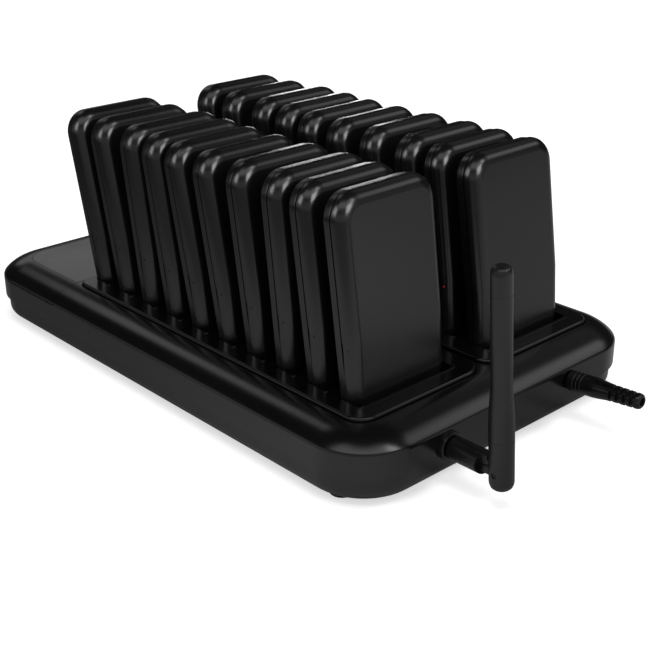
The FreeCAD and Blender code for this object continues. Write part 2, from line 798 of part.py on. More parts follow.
def make_dc_plug():
    """Straight plug: barrel, smooth grip and a slotted strain relief with a spine."""
    relief_start = plug_body_length + plug_taper_length
    plug = turned([
        (plug_barrel_bore, -plug_barrel_length),
        (plug_barrel_radius, -plug_barrel_length),
        (plug_barrel_radius, plug_front_gap),
        (plug_body_radius, plug_front_gap),
        (plug_body_radius, plug_body_length),
        (relief_radius, relief_start),
        (relief_end_radius, plug_reach - relief_end_chamfer),
        (relief_end_radius - relief_end_chamfer, plug_reach),
        (0, plug_reach),
        (0, 0),
        (plug_barrel_bore, 0),
    ])
    pitch = (plug_reach - relief_start) / (relief_slot_count + 1)
    slots = []
    for index in range(relief_slot_count):
        low_z = relief_start + (index + 0.5) * pitch
        for side in (-1, 1):
            edges_y = sorted((side * relief_slot_floor, side * 2 * relief_radius))
            slots.append(block(Vector(-relief_spine_height, edges_y[0], low_z),
                               Vector(2 * relief_radius, edges_y[1],
                                      low_z + relief_slot_width)))
    plug = plug.cut(slots)
    plug.Placement = FreeCAD.Placement(plug_point, FreeCAD.Rotation(Y_AXIS, 90 - plug_lift))
    return plug


# ---------------------------------------------------------------- the whole assembly
os.makedirs("parts", exist_ok=True)
write("base_top_shell", make_top_shell())
write("base_bottom_shell", make_bottom_shell())
write("console_cover", make_console_cover())
write("keypad_panel", make_keypad_panel())
write("display_window", make_display_window())
write("main_board", make_main_board())
write("near_tray", make_tray(-1))
write("far_tray", make_tray(1))
write("charging_board", make_charging_board())
write("charging_contacts", make_charging_contacts())
write("rubber_feet", make_feet())
write("base_screws", make_screws())
write("antenna_socket", make_antenna_socket())
write("antenna_nut", make_antenna_nut())
write("antenna_barrel", make_antenna_barrel())
write("antenna_whip", make_antenna_whip())
write("antenna_hinge_pin", make_hinge_pin())
write("radio_module", make_radio_module())
write("dc_jack", make_dc_jack())
write("dc_plug", make_dc_plug())
write_pagers()
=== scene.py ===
# %% [markdown]
# # A guest pager system, dressed in Blender
#
# The object is a low charging base.  Twenty lean pagers stand in it in two rows, a keypad
# console is at one end, and an antenna and a power plug are at the other.  Its working solids
# come from a CAD model that is packed as a fixed frame.  This lesson gives each visible piece
# its finished form and surface: the crowned shoulder, the thin seams, the soft satin plastic.
#
# The frame is loaded first, because every piece takes its place from it.

# %% Load the frame
import math

import bmesh
import bpy
from mathutils import Matrix, Vector


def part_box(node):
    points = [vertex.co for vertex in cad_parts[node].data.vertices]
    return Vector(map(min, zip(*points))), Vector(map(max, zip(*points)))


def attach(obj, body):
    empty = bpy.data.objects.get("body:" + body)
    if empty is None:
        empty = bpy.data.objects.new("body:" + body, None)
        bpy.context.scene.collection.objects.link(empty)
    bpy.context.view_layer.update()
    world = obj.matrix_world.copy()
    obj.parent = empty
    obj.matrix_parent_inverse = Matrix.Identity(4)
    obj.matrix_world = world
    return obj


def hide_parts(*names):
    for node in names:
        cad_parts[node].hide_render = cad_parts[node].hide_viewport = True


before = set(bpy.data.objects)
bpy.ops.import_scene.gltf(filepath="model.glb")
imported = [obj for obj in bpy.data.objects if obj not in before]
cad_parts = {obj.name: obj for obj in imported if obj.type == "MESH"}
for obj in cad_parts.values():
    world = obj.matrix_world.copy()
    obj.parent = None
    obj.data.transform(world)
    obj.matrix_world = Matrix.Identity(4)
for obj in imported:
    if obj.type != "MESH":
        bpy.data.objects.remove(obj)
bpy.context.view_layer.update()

MM = 0.001
top_shell_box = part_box("base_top_shell")
BASE_X = (top_shell_box[0].x + top_shell_box[1].x) / 2
print("base centre stands at x =", round(BASE_X / MM, 3), "mm")


def place(x, y, z):
    """Point in metres from millimetres about the middle of the base."""
    return Vector((BASE_X + x * MM, y * MM, z * MM))


# %% [markdown]
# ## The camera
#
# The base is seen from its connector end, turned to a three-quarter view and from a little
# above.  A camera's own axes are right, up and back.  The three directions are worked out
# from the viewing angle and written straight into its matrix, so nothing has to be tracked.

# %% Camera
VIEW_AZIMUTH = math.radians(47.2945)
VIEW_ELEVATION = math.radians(24.0)
VIEW_ROLL = math.radians(-0.157)
VIEW_LENS = 66.01
VIEW_PLACE = (510.06, -441.3, 312.0)

view_back = Vector((math.sin(VIEW_AZIMUTH) * math.cos(VIEW_ELEVATION),
                    -math.cos(VIEW_AZIMUTH) * math.cos(VIEW_ELEVATION),
                    math.sin(VIEW_ELEVATION)))
level_right = Vector((0, 0, 1)).cross(view_back).normalized()
level_up = view_back.cross(level_right)
view_right = level_right * math.cos(VIEW_ROLL) + level_up * math.sin(VIEW_ROLL)
view_up = level_up * math.cos(VIEW_ROLL) - level_right * math.sin(VIEW_ROLL)

camera_data = bpy.data.cameras.new("camera")
camera_data.lens = VIEW_LENS
camera_data.sensor_width = 36.0
camera_data.clip_start = 0.01
camera = bpy.data.objects.new("camera", camera_data)
bpy.context.scene.collection.objects.link(camera)
camera.matrix_world = (Matrix.Translation(place(*VIEW_PLACE))
                       @ Matrix((view_right, view_up, view_back)).transposed().to_4x4())
bpy.context.scene.camera = camera
print("camera stands", round(camera.location.length, 3), "m from the origin")


# %% [markdown]
# ## Small words for modelling
#
# Every mesh below is made with the same few moves: add a primitive, go into edit mode, pick
# edges or faces by where they are, and run one operator on them.  The helpers only say those
# moves in fewer words.  An operator acts on everything that is selected, so each one starts
# by dropping the selection.

# %% Modelling helpers
X_AXIS = Vector((1, 0, 0))
Z_AXIS = Vector((0, 0, 1))
SHARP_ANGLE = 35


def only(*objects):
    """Select these objects and nothing else; the first one is active."""
    bpy.ops.object.select_all(action="DESELECT")
    for obj in objects:
        obj.select_set(True)
    if objects:
        bpy.context.view_layer.objects.active = objects[0]


def named(name):
    """Name the primitive that was just added and put its place into its mesh."""
    obj = bpy.context.active_object
    obj.name = name
    bpy.ops.object.transform_apply(location=True, rotation=True, scale=True)
    return obj


def new_block(name, low, high):
    """Cube stretched between two corners."""
    low, high = Vector(low), Vector(high)
    only()
    bpy.ops.mesh.primitive_cube_add(size=1, location=place(*(low + high) / 2),
                                    scale=(high - low) * MM)
    return named(name)


def own_rod(name, radius, length, axis="Z", centre=(0, 0, 0), sides=48):
    """Cylinder about a centre, along one axis, in a piece's own frame."""
    turn = {"X": (0, math.pi / 2, 0), "Y": (math.pi / 2, 0, 0), "Z": (0, 0, 0)}[axis]
    only()
    bpy.ops.mesh.primitive_cylinder_add(vertices=sides, radius=radius * MM, depth=length * MM,
                                        location=Vector(centre) * MM, rotation=turn)
    return named(name)


def own_block(name, low, high):
    """Cube stretched between two corners of a piece's own frame."""
    low, high = Vector(low) * MM, Vector(high) * MM
    only()
    bpy.ops.mesh.primitive_cube_add(size=1, location=(low + high) / 2, scale=high - low)
    return named(name)


def pick(obj, kind, test):
    """Enter edit mode and select the verts, edges or faces that pass a test, and no others."""
    only(obj)
    bpy.ops.object.mode_set(mode="EDIT")
    bpy.ops.mesh.select_mode(type={"verts": "VERT", "edges": "EDGE", "faces": "FACE"}[kind])
    bpy.ops.mesh.select_all(action="DESELECT")
    mesh = bmesh.from_edit_mesh(obj.data)
    count = 0
    for item in getattr(mesh, kind):
        if test(item):
            item.select_set(True)
            count += 1
    bmesh.update_edit_mesh(obj.data)
    return count


def done():
    """Leave edit mode."""
    bpy.ops.object.mode_set(mode="OBJECT")


def copied(obj):
    """Copy of a piece, with a mesh of its own."""
    only(obj)
    bpy.ops.object.duplicate()
    return bpy.context.active_object


def local(point):
    """Millimetres about the middle of the base, from a mesh point in metres."""
    return Vector(((point.x - BASE_X) / MM, point.y / MM, point.z / MM))


def middle(edge):
    """Middle of an edge, in millimetres about the middle of the base."""
    return local((edge.verts[0].co + edge.verts[1].co) / 2)


def runs_along(edge, axis):
    """True where an edge lies along an axis."""
    run = edge.verts[1].co - edge.verts[0].co
    return run.length > 0 and run.normalized().cross(axis).length < 0.01


def upright(edge):
    """True for an edge that stands upright."""
    return runs_along(edge, Z_AXIS)


def bevel_edges(obj, test, width, segments):
    """Round the edges that pass a test."""
    pick(obj, "edges", test)
    bpy.ops.mesh.bevel(offset=width * MM, segments=segments, affect="EDGES",
                       clamp_overlap=False)
    done()


def open_up(obj, test):
    """Delete the faces that pass a test."""
    pick(obj, "faces", test)
    bpy.ops.mesh.delete(type="FACE")
    done()


def modify(obj, kind, **settings):
    """Add a modifier, set it, and apply it."""
    modifier = obj.modifiers.new(kind.lower(), kind)
    for name, value in settings.items():
        setattr(modifier, name, value)
    only(obj)
    bpy.ops.object.modifier_apply(modifier=modifier.name)


def carve(obj, tool, operation="DIFFERENCE"):
    """Cut a tool out of an object, or join it in, and throw the tool away."""
    modify(obj, "BOOLEAN", object=tool, operation=operation, solver="EXACT")
    bpy.data.objects.remove(tool)


def merged(name, objects):
    """Join several objects into the first."""
    only(*objects)
    bpy.ops.object.join()
    objects[0].name = name
    return objects[0]


def finish_edges(obj, width):
    """Break the sharp edges a little, then shade so that flats stay flat."""
    modify(obj, "BEVEL", width=width * MM, segments=2, limit_method="ANGLE",
           angle_limit=math.radians(SHARP_ANGLE), use_clamp_overlap=True, harden_normals=False)
    smooth(obj)


def smooth(obj, angle=SHARP_ANGLE):
    """Smooth shading with sharp edges kept, weighted to the large faces."""
    only(obj)
    bpy.ops.object.shade_smooth_by_angle(angle=math.radians(angle))
    modify(obj, "WEIGHTED_NORMAL", keep_sharp=True, weight=80)


def faces_out(obj):
    """Merge doubles and point every face outward."""
    only(obj)
    bpy.ops.object.mode_set(mode="EDIT")
    bpy.ops.mesh.select_all(action="SELECT")
    bpy.ops.mesh.remove_doubles(threshold=1e-6)
    bpy.ops.mesh.normals_make_consistent(inside=False)
    done()


def turned(name, profile, sides=48):
    """Turn (radius, height) points about Z: a ring is drawn out and resized step by step."""
    only()
    bpy.ops.mesh.primitive_circle_add(vertices=sides, radius=profile[0][0] * MM,
                                      location=(0, 0, profile[0][1] * MM))
    obj = named(name)
    pick(obj, "edges", lambda edge: True)
    for (radius, height), (next_radius, next_height) in zip(profile, profile[1:]):
        bpy.ops.mesh.extrude_region_move(
            TRANSFORM_OT_translate={"value": (0, 0, (next_height - height) * MM)})
        bpy.ops.transform.resize(value=(next_radius / radius, next_radius / radius, 1),
                                 center_override=(0, 0, 0))
    done()
    for _, height in (profile[0], profile[-1]):
        pick(obj, "edges", lambda edge: (edge.is_boundary
                                         and abs(edge.verts[0].co.z / MM - height) < 0.001))
        bpy.ops.mesh.edge_face_add()
        done()
    faces_out(obj)
    return obj


def lay(obj, *matrices):
    """Move a mesh through matrices, the last one first."""
    for matrix in reversed(matrices):
        obj.data.transform(matrix)
    return obj


def spread(name, first, spots):
    """Copy a piece to each spot, in millimetres about the base, and join the copies."""
    copies = [lay(copied(first), Matrix.Translation(place(*spot))) for spot in spots]
    bpy.data.objects.remove(first)
    return merged(name, copies)


def paint(obj, material):
    """Give every face of an object one material."""
    obj.data.materials.clear()
    obj.data.materials.append(material)
    for face in obj.data.polygons:
        face.material_index = 0


def fit(obj, material, body, slot, *nodes):
    """Give a finished piece its material and body, and hide its nodes; the slot is not used."""
    paint(obj, material)
    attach(obj, body)
    if nodes:
        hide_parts(*nodes)
    print(obj.name, "-", len(obj.data.polygons), "faces")


# %% [markdown]
# ## Words for materials
#
# A material is a small tree of nodes.  One helper adds a node and sets its inputs by name; a
# pair of a node and the name of its output makes a link instead of a value.

# %% Node helpers
def clear_tree(owner):
    """Empty node tree of a material or a world."""
    owner.use_nodes = True
    owner.node_tree.nodes.clear()
    return owner.node_tree


def feed(tree, socket, value):
    """Set a socket, or link it from a pair of a node and an output name."""
    if isinstance(value, tuple) and isinstance(value[0], bpy.types.Node):
        tree.links.new(value[0].outputs[value[1]], socket)
    else:
        socket.default_value = value


def add(tree, kind, settings=None, **inputs):
    """Add a node, set its own settings, then feed its inputs."""
    node = tree.nodes.new(kind)
    for name, value in (settings or {}).items():
        setattr(node, name, value)
    for name, value in inputs.items():
        feed(tree, node.inputs[name.replace("_", " ")], value)
    return node


def compute(tree, operation, *values, clamp=False):
    """Math node; returns its result as a pair."""
    node = add(tree, "ShaderNodeMath", {"operation": operation, "use_clamp": clamp})
    for socket, value in zip(node.inputs, values):
        feed(tree, socket, value)
    return (node, "Value")


def blend_range(tree, value, start, end, low, high):
    """Smooth step from low to high while a value runs from start to end."""
    node = add(tree, "ShaderNodeMapRange", {"interpolation_type": "SMOOTHSTEP"}, Value=value)
    for name, number in (("From Min", start), ("From Max", end), ("To Min", low),
                         ("To Max", high)):
        node.inputs[name].default_value = number
    return (node, "Result")


# %% [markdown]
# ## Floor, room and lamps
#
# Black plastic shows almost nothing of its own colour.  What the eye reads as its form is the
# room in its surface.  The floor is plain white paint that the camera sees a little brighter,
# so the ground is clean and still keeps the soft shadow.  In reflections its colour carries
# painted light and shade: it is painted bright at the connector end and painted darker toward
# the console, in front and behind, and a painted shadow lies close to the antenna, where the
# object stands in its own light.

# %% Floor
FLOOR_SIZE = 14.0
FLOOR_TONE = (0.8, 0.8, 0.8, 1.0)
FLOOR_SEEN_LIFT = 0.6
# Each painted fall-off of light runs from a start to an end, with a level at each.  The first
# runs along X, the next two along Y plus a share of X, and the last, a painted shadow, outward
# from a spot on the floor.
PAINTED_LIGHT_LEFT = (-0.45, 0.15, 0.25, 1.0)
PAINTED_LIGHT_FRONT = (-0.52, -0.34, 0.35, 1.0)
PAINTED_LIGHT_FRONT_TURN = -0.15
PAINTED_LIGHT_REAR = (-0.25, -0.05, 1.0, 0.65)
PAINTED_LIGHT_REAR_TURN = -0.95
PAINTED_SHADOW_PLACE = (0.25, 0.02, 0.0)
PAINTED_SHADOW = (0.05, 0.17, 0.5, 1.0)

only()
bpy.ops.mesh.primitive_plane_add(size=FLOOR_SIZE, location=(0, 0, 0))
floor = named("floor")
floor_paint = bpy.data.materials.new("floor_paint")
tree = clear_tree(floor_paint)
floor_rays = add(tree, "ShaderNodeLightPath")
floor_place = add(tree, "ShaderNodeTexCoord")
floor_split = add(tree, "ShaderNodeSeparateXYZ", Vector=(floor_place, "Object"))
# The floor's colour in reflections is painted light and shade: each fall-off darkens it by place.
painted_light_and_shade = blend_range(tree, (floor_split, "X"), *PAINTED_LIGHT_LEFT)
for turn, limits in ((PAINTED_LIGHT_FRONT_TURN, PAINTED_LIGHT_FRONT), (PAINTED_LIGHT_REAR_TURN, PAINTED_LIGHT_REAR)):
    across = compute(tree, "MULTIPLY_ADD", (floor_split, "X"), turn, (floor_split, "Y"))
    painted_light_and_shade = compute(tree, "MULTIPLY", painted_light_and_shade, blend_range(tree, across, *limits))
# Painted shadow: the floor's colour in reflections is darkened round a spot at the connector end.
painted_shadow_reach = add(tree, "ShaderNodeVectorMath", {"operation": "DISTANCE"})
feed(tree, painted_shadow_reach.inputs[0], (floor_place, "Object"))
feed(tree, painted_shadow_reach.inputs[1], PAINTED_SHADOW_PLACE)
painted_light_and_shade = compute(tree, "MULTIPLY", painted_light_and_shade, blend_range(tree, (painted_shadow_reach, "Value"), *PAINTED_SHADOW))
painted_shade_amount = compute(tree, "MULTIPLY", compute(tree, "SUBTRACT", 1.0, painted_light_and_shade),
                     (floor_rays, "Is Glossy Ray"))
floor_tone_painted_shade = add(tree, "ShaderNodeMix", {"data_type": "RGBA"})
feed(tree, floor_tone_painted_shade.inputs["Factor"], painted_shade_amount)
feed(tree, floor_tone_painted_shade.inputs["A"], FLOOR_TONE)
feed(tree, floor_tone_painted_shade.inputs["B"], (0.0, 0.0, 0.0, 1.0))
floor_diffuse = add(tree, "ShaderNodeBsdfDiffuse", Color=(floor_tone_painted_shade, "Result"))
floor_lift = compute(tree, "MULTIPLY", (floor_rays, "Is Camera Ray"), FLOOR_SEEN_LIFT)
floor_glow = add(tree, "ShaderNodeEmission", Strength=floor_lift)
floor_sum = tree.nodes.new("ShaderNodeAddShader")
tree.links.new(floor_diffuse.outputs["BSDF"], floor_sum.inputs[0])
tree.links.new(floor_glow.outputs["Emission"], floor_sum.inputs[1])
add(tree, "ShaderNodeOutputMaterial", Surface=(floor_sum, "Shader"))
floor.data.materials.append(floor_paint)

# %% [markdown]
# The room is dark where it isn't lit, and soft cards stand round the object: walls, a ceiling
# sheet in front, a small key lamp and narrow strips.  In a studio these are real cards.  Here
# each is a soft window in the world's directions, given in degrees, and only reflections see
# it.  The camera sees plain white.

# %% Room
ROOM_PLAIN = 0.5
ROOM_WHITE = 1.0
ROOM_DARK = 0.015
CARDS = {  # bearing, height, half width, half height, side softness, edge softness, strength
    "front_wall": (-58, 5, 86, 24, 12, 10, 0.5),
    "front_ceiling": (-48, 58, 66, 13, 9, 9, 1.6),
    "key_lamp": (24, 54, 11, 9, 7, 7, 6.0),
    "left_strip": (176, 44, 9, 9, 4, 2, 0.95),
    "right_strip": (66, 38, 15, 9, 7, 6, 1.4),
    "right_wall": (38, 13, 16, 15, 8, 9, 0.28),
    "rear_fill": (102, 40, 28, 12, 9, 8, 0.14),
    "back_strip": (158, 20, 13, 5, 3, 4, 0.7),
}

world = bpy.data.worlds.new("studio")
bpy.context.scene.world = world
tree = clear_tree(world)
room_rays = add(tree, "ShaderNodeLightPath")
room_way = add(tree, "ShaderNodeTexCoord")
room_split = add(tree, "ShaderNodeSeparateXYZ", Vector=(room_way, "Generated"))
room_height = compute(tree, "ARCSINE", (room_split, "Z"))
room_glow = ROOM_DARK
for bearing, height, half_width, half_height, side_soft, edge_soft, strength in CARDS.values():
    turned_way = add(tree, "ShaderNodeVectorRotate", {"rotation_type": "Z_AXIS"},
                     Vector=(room_way, "Generated"), Angle=-math.radians(bearing))
    turned_split = add(tree, "ShaderNodeSeparateXYZ", Vector=(turned_way, "Vector"))
    off_bearing = compute(tree, "ABSOLUTE", compute(tree, "ARCTAN2", (turned_split, "Y"),
                                                    (turned_split, "X")))
    off_height = compute(tree, "ABSOLUTE", compute(tree, "SUBTRACT", room_height,
                                                   math.radians(height)))
    card = strength
    for off, half, softness in ((off_bearing, half_width, side_soft),
                                (off_height, half_height, edge_soft)):
        window = blend_range(tree, off, math.radians(half - softness),
                             math.radians(half + softness), 1.0, 0.0)
        card = compute(tree, "MULTIPLY", card, window)
    room_glow = compute(tree, "MAXIMUM", room_glow, card)
room_mirror = compute(tree, "MULTIPLY", (room_rays, "Is Glossy Ray"), room_glow)
room_seen = compute(tree, "MAXIMUM", (room_rays, "Is Camera Ray"),
                    (room_rays, "Is Transmission Ray"))
room_white = compute(tree, "MULTIPLY", room_seen, ROOM_WHITE)
room_any = compute(tree, "MAXIMUM", room_seen, (room_rays, "Is Glossy Ray"))
room_rest = compute(tree, "MULTIPLY", compute(tree, "SUBTRACT", 1.0, room_any), ROOM_PLAIN)
room_level = compute(tree, "MAXIMUM", compute(tree, "MAXIMUM", room_mirror, room_white),
                     room_rest)
sky = add(tree, "ShaderNodeBackground", Strength=room_level)
sky.inputs["Color"].default_value = (1, 1, 1, 1)
add(tree, "ShaderNodeOutputWorld", Surface=(sky, "Background"))
bpy.context.scene.view_settings.view_transform = "Standard"
print("room cards:", list(CARDS))

# %% [markdown]
# Two large softboxes light everything and throw the shadow.  Three small ones are flagged off
# all but the pagers: two put a glint on each rounded corner, and the one behind draws a fine
# line along each rear edge.  In a studio black flags do this, and light linking does it here.

# %% Lamps
LIGHT_AIM = (0, 0, 0.05)
PAGER_CORNERS = (0.16, -0.07, 0.13)
SOFTBOXES = {  # place, aim, size, watts, flagged
    "overhead_softbox": ((0.3, -0.3, 1.7), LIGHT_AIM, 0.7, 9.0, False),
    "side_softbox": ((0.9, 1.2, 1.3), LIGHT_AIM, 0.5, 5.0, False),
    "front_corner_softbox": ((0.89, -0.09, 0.66), PAGER_CORNERS, 0.46, 5.4, True),
    "side_corner_softbox": ((-0.20, -0.77, 0.53), PAGER_CORNERS, 0.42, 2.6, True),
    "rear_rim_softbox": ((-0.56, 0.51, 0.155), PAGER_CORNERS, 0.13, 0.3, True),
}
pagers_only = bpy.data.collections.new("pagers_only")


def softbox(name, where, aim, size, watts, flagged):
    """Square area lamp that looks at a spot; a flagged one shines on the pagers alone."""
    data = bpy.data.lights.new(name, "AREA")
    data.size = size
    data.energy = watts
    lamp = bpy.data.objects.new(name, data)
    bpy.context.scene.collection.objects.link(lamp)
    lamp.location = where
    lamp.rotation_euler = (Vector(aim) - Vector(where)).to_track_quat("-Z", "Y").to_euler()
    lamp.visible_glossy = flagged
    if flagged:
        lamp.light_linking.receiver_collection = pagers_only
    print(name, "at", where)


for name, settings in SOFTBOXES.items():
    softbox(name, *settings)

# %% [markdown]
# ## Shared surface effects
#
# Two effects come back in nearly every material.  The first is the fine grain of moulded
# plastic: a sparse bump and a slight change of roughness.  The second is handling: broad, very
# faint smudges where the gloss changes.  Each is a node group, built once and given its own
# values in every material.

# %% Surface groups
SMUDGE_START = 0.42
SMUDGE_END = 0.68
SMUDGE_LIFT = 1.25
GRAIN_HEIGHT = 0.00002


def group_with(name, inputs, outputs):
    """Empty node group with float inputs (name, default) and float outputs."""
    group = bpy.data.node_groups.new(name, "ShaderNodeTree")
    for label, default in inputs:
        socket = group.interface.new_socket(label, in_out="INPUT", socket_type="NodeSocketFloat")
        socket.default_value = default
    for label in outputs:
        group.interface.new_socket(label, in_out="OUTPUT", socket_type="NodeSocketFloat")
    return group, group.nodes.new("NodeGroupInput"), group.nodes.new("NodeGroupOutput")


grain_group, grain_in, grain_out = group_with(
    "moulded_grain", [("Scale", 2500.0), ("Roughness", 0.35), ("Variation", 0.05)],
    ["Height", "Roughness"])
grain_way = add(grain_group, "ShaderNodeTexCoord")
grain_fine = add(grain_group, "ShaderNodeTexNoise", Vector=(grain_way, "Object"),
                 Scale=(grain_in, "Scale"), Detail=2.0, Roughness=0.5)
grain_centre = compute(grain_group, "SUBTRACT", (grain_fine, "Fac"), 0.5)
grain_shift = compute(grain_group, "MULTIPLY", grain_centre, (grain_in, "Variation"))
grain_rough = compute(grain_group, "ADD", grain_shift, (grain_in, "Roughness"), clamp=True)
feed(grain_group, grain_out.inputs["Height"], (grain_fine, "Fac"))
feed(grain_group, grain_out.inputs["Roughness"], grain_rough)

smudge_group, smudge_in, smudge_out = group_with(
    "handling_smudge", [("Scale", 22.0), ("Roughness", 0.35), ("Amount", 0.05)],
    ["Mask", "Roughness"])
smudge_way = add(smudge_group, "ShaderNodeTexCoord")
smudge_wide = add(smudge_group, "ShaderNodeTexNoise", Vector=(smudge_way, "Object"),
                  Scale=(smudge_in, "Scale"), Detail=4.0, Roughness=0.6)
smudge_range = add(smudge_group, "ShaderNodeMapRange", Value=(smudge_wide, "Fac"))
smudge_range.inputs["From Min"].default_value = SMUDGE_START
smudge_range.inputs["From Max"].default_value = SMUDGE_END
smudge_shift = compute(smudge_group, "MULTIPLY", (smudge_range, "Result"), (smudge_in, "Amount"))
smudge_rough = compute(smudge_group, "ADD", smudge_shift, (smudge_in, "Roughness"), clamp=True)
feed(smudge_group, smudge_out.inputs["Mask"], (smudge_range, "Result"))
feed(smudge_group, smudge_out.inputs["Roughness"], smudge_rough)
print("surface groups:", [group.name for group in bpy.data.node_groups])


# %% Moulded plastic
def use_group(tree, group, **inputs):
    """Place a node group in a material and feed it."""
    node = tree.nodes.new("ShaderNodeGroup")
    node.node_tree = group
    for name, value in inputs.items():
        feed(tree, node.inputs[name], value)
    return node


def plastic(name, tone, roughness, grain_scale, grain_depth, smudge=0.05, coat=0.0, glow=None):
    """Moulded plastic: a tone, a gloss, a grain and a little handling."""
    material = bpy.data.materials.new(name)
    tree = clear_tree(material)
    smudge_node = use_group(tree, smudge_group, Roughness=roughness, Amount=smudge)
    grain_node = use_group(tree, grain_group, Scale=grain_scale,
                           Roughness=(smudge_node, "Roughness"))
    bump = add(tree, "ShaderNodeBump", Strength=grain_depth, Distance=GRAIN_HEIGHT,
               Height=(grain_node, "Height"))
    mix = add(tree, "ShaderNodeMix", {"data_type": "RGBA"})
    feed(tree, mix.inputs["Factor"], (smudge_node, "Mask"))
    mix.inputs["A"].default_value = (*tone, 1)
    mix.inputs["B"].default_value = (*[value * SMUDGE_LIFT for value in tone], 1)
    shader = add(tree, "ShaderNodeBsdfPrincipled", Roughness=(grain_node, "Roughness"),
                 Normal=(bump, "Normal"))
    feed(tree, shader.inputs["Base Color"], (mix, "Result"))
    shader.inputs["Coat Weight"].default_value = coat
    if glow:
        shader.inputs["Emission Color"].default_value = (*glow, 1)
        shader.inputs["Emission Strength"].default_value = 1.0
    add(tree, "ShaderNodeOutputMaterial", Surface=(shader, "BSDF"))
    return material


case_plastic = plastic("case_plastic", (0.003, 0.003, 0.0032), 0.20, 2600, 0.12, 0.03)
pan_plastic = plastic("pan_plastic", (0.003, 0.003, 0.0032), 0.28, 2200, 0.2, 0.03)
tray_plastic = plastic("tray_plastic", (0.0015, 0.0015, 0.0016), 0.20, 2600, 0.15, 0.03)
panel_film = plastic("panel_film", (0.003, 0.003, 0.0033), 0.16, 3000, 0.05, 0.04)
pager_plastic = plastic("pager_plastic", (0.003, 0.003, 0.0032), 0.22, 2800, 0.12, 0.03)
pager_back_plastic = plastic("pager_back_plastic", (0.003, 0.003, 0.0032), 0.24, 2400, 0.2, 0.03)
antenna_rubber = plastic("antenna_rubber", (0.006, 0.006, 0.0063), 0.36, 1800, 0.3, 0.04)
knuckle_plastic = plastic("knuckle_plastic", (0.002, 0.002, 0.0021), 0.30, 1800, 0.1, 0.03)
plug_rubber = plastic("plug_rubber", (0.002, 0.002, 0.0021), 0.24, 1800, 0.15, 0.03)
foot_rubber = plastic("foot_rubber", (0.008, 0.008, 0.008), 0.6, 1500, 0.8)
connector_plastic = plastic("connector_plastic", (0.004, 0.004, 0.004), 0.28, 2500, 0.2)
smoked_lens = plastic("smoked_lens", (0.002, 0.002, 0.0025), 0.08, 900, 0.0, 0.02, 0.5)
key_ink = plastic("key_ink", (0.16, 0.16, 0.165), 0.4, 2600, 0.1, 0.05)
light_off = plastic("light_off", (0.003, 0.003, 0.0032), 0.22, 900, 0.0, 0.02)
light_on = plastic("light_on", (0.05, 0.004, 0.003), 0.2, 900, 0.0, 0.02, glow=(0.12, 0.008, 0.005))
board_lacquer = plastic("board_lacquer", (0.01, 0.06, 0.025), 0.3, 900, 0.2)


def metal(name, tone, roughness):
    """Plain metal with fine brushed grain."""
    material = bpy.data.materials.new(name)
    tree = clear_tree(material)
    grain_node = use_group(tree, grain_group, Scale=1800.0, Roughness=roughness, Variation=0.2)
    shader = add(tree, "ShaderNodeBsdfPrincipled", Roughness=(grain_node, "Roughness"))
    shader.inputs["Base Color"].default_value = (*tone, 1)
    shader.inputs["Metallic"].default_value = 1.0
    add(tree, "ShaderNodeOutputMaterial", Surface=(shader, "BSDF"))
    return material


steel = metal("plated_steel", (0.55, 0.55, 0.56), 0.3)
contact_gold = metal("contact_gold", (0.75, 0.55, 0.2), 0.3)
connector_metal = metal("connector_metal", (0.45, 0.45, 0.46), 0.3)
blacked_steel = metal("blacked_steel", (0.03, 0.03, 0.032), 0.35)
print("materials:", len(bpy.data.materials))

# %% [markdown]
# ## The crowned base
#
# The case is one long rounded slab.  Its skirt stands upright, and a wide basket-handle curve
# runs from the skirt to the flat deck: a tight arc first, then a wide one.  A slab with bevelled
# corners gives the plan, and the curve is made by insetting the top face again and again, each
# ring a little further in and a little higher.  The rings follow the two arcs exactly.

# %% Shoulder curve
BASE_LENGTH = 353.0
BASE_WIDTH = 221.5
BASE_CORNER = 34.0
SKIRT_BOTTOM = 16.0
SHOULDER_FOOT = 28.4
DECK = 38.0
SHOULDER_RUN = 19.0
SKIRT_EDGE = 3.0
WALL = 2.5
EDGE_STEPS = 5
CROWN_STEPS = 16
PLAN_STEPS = 20
CASE_BREAK = 0.3
PAN_BREAK = 0.25
CONNECTOR_BREAK = 0.2
SMALL_BREAK = 0.15
FINE_BREAK = 0.12

rise = DECK - SHOULDER_FOOT
crown_radius = ((SHOULDER_RUN ** 2 + rise ** 2 - 2 * SHOULDER_RUN * SKIRT_EDGE)
                / (2 * (rise - SKIRT_EDGE)))
edge_centre = Vector((-SKIRT_EDGE, SHOULDER_FOOT))
crown_centre = Vector((-SHOULDER_RUN, DECK - crown_radius))
join_angle = math.atan2(edge_centre.y - crown_centre.y, edge_centre.x - crown_centre.x)
shoulder = [edge_centre + SKIRT_EDGE * Vector((math.cos(turn), math.sin(turn)))
            for turn in [join_angle * step / EDGE_STEPS for step in range(EDGE_STEPS + 1)]]
shoulder += [crown_centre + crown_radius * Vector((math.cos(turn), math.sin(turn)))
             for turn in [join_angle + (math.pi / 2 - join_angle) * step / CROWN_STEPS
                          for step in range(1, CROWN_STEPS + 1)]]
print("crown radius", round(crown_radius, 2), "mm,", len(shoulder), "points in the curve")


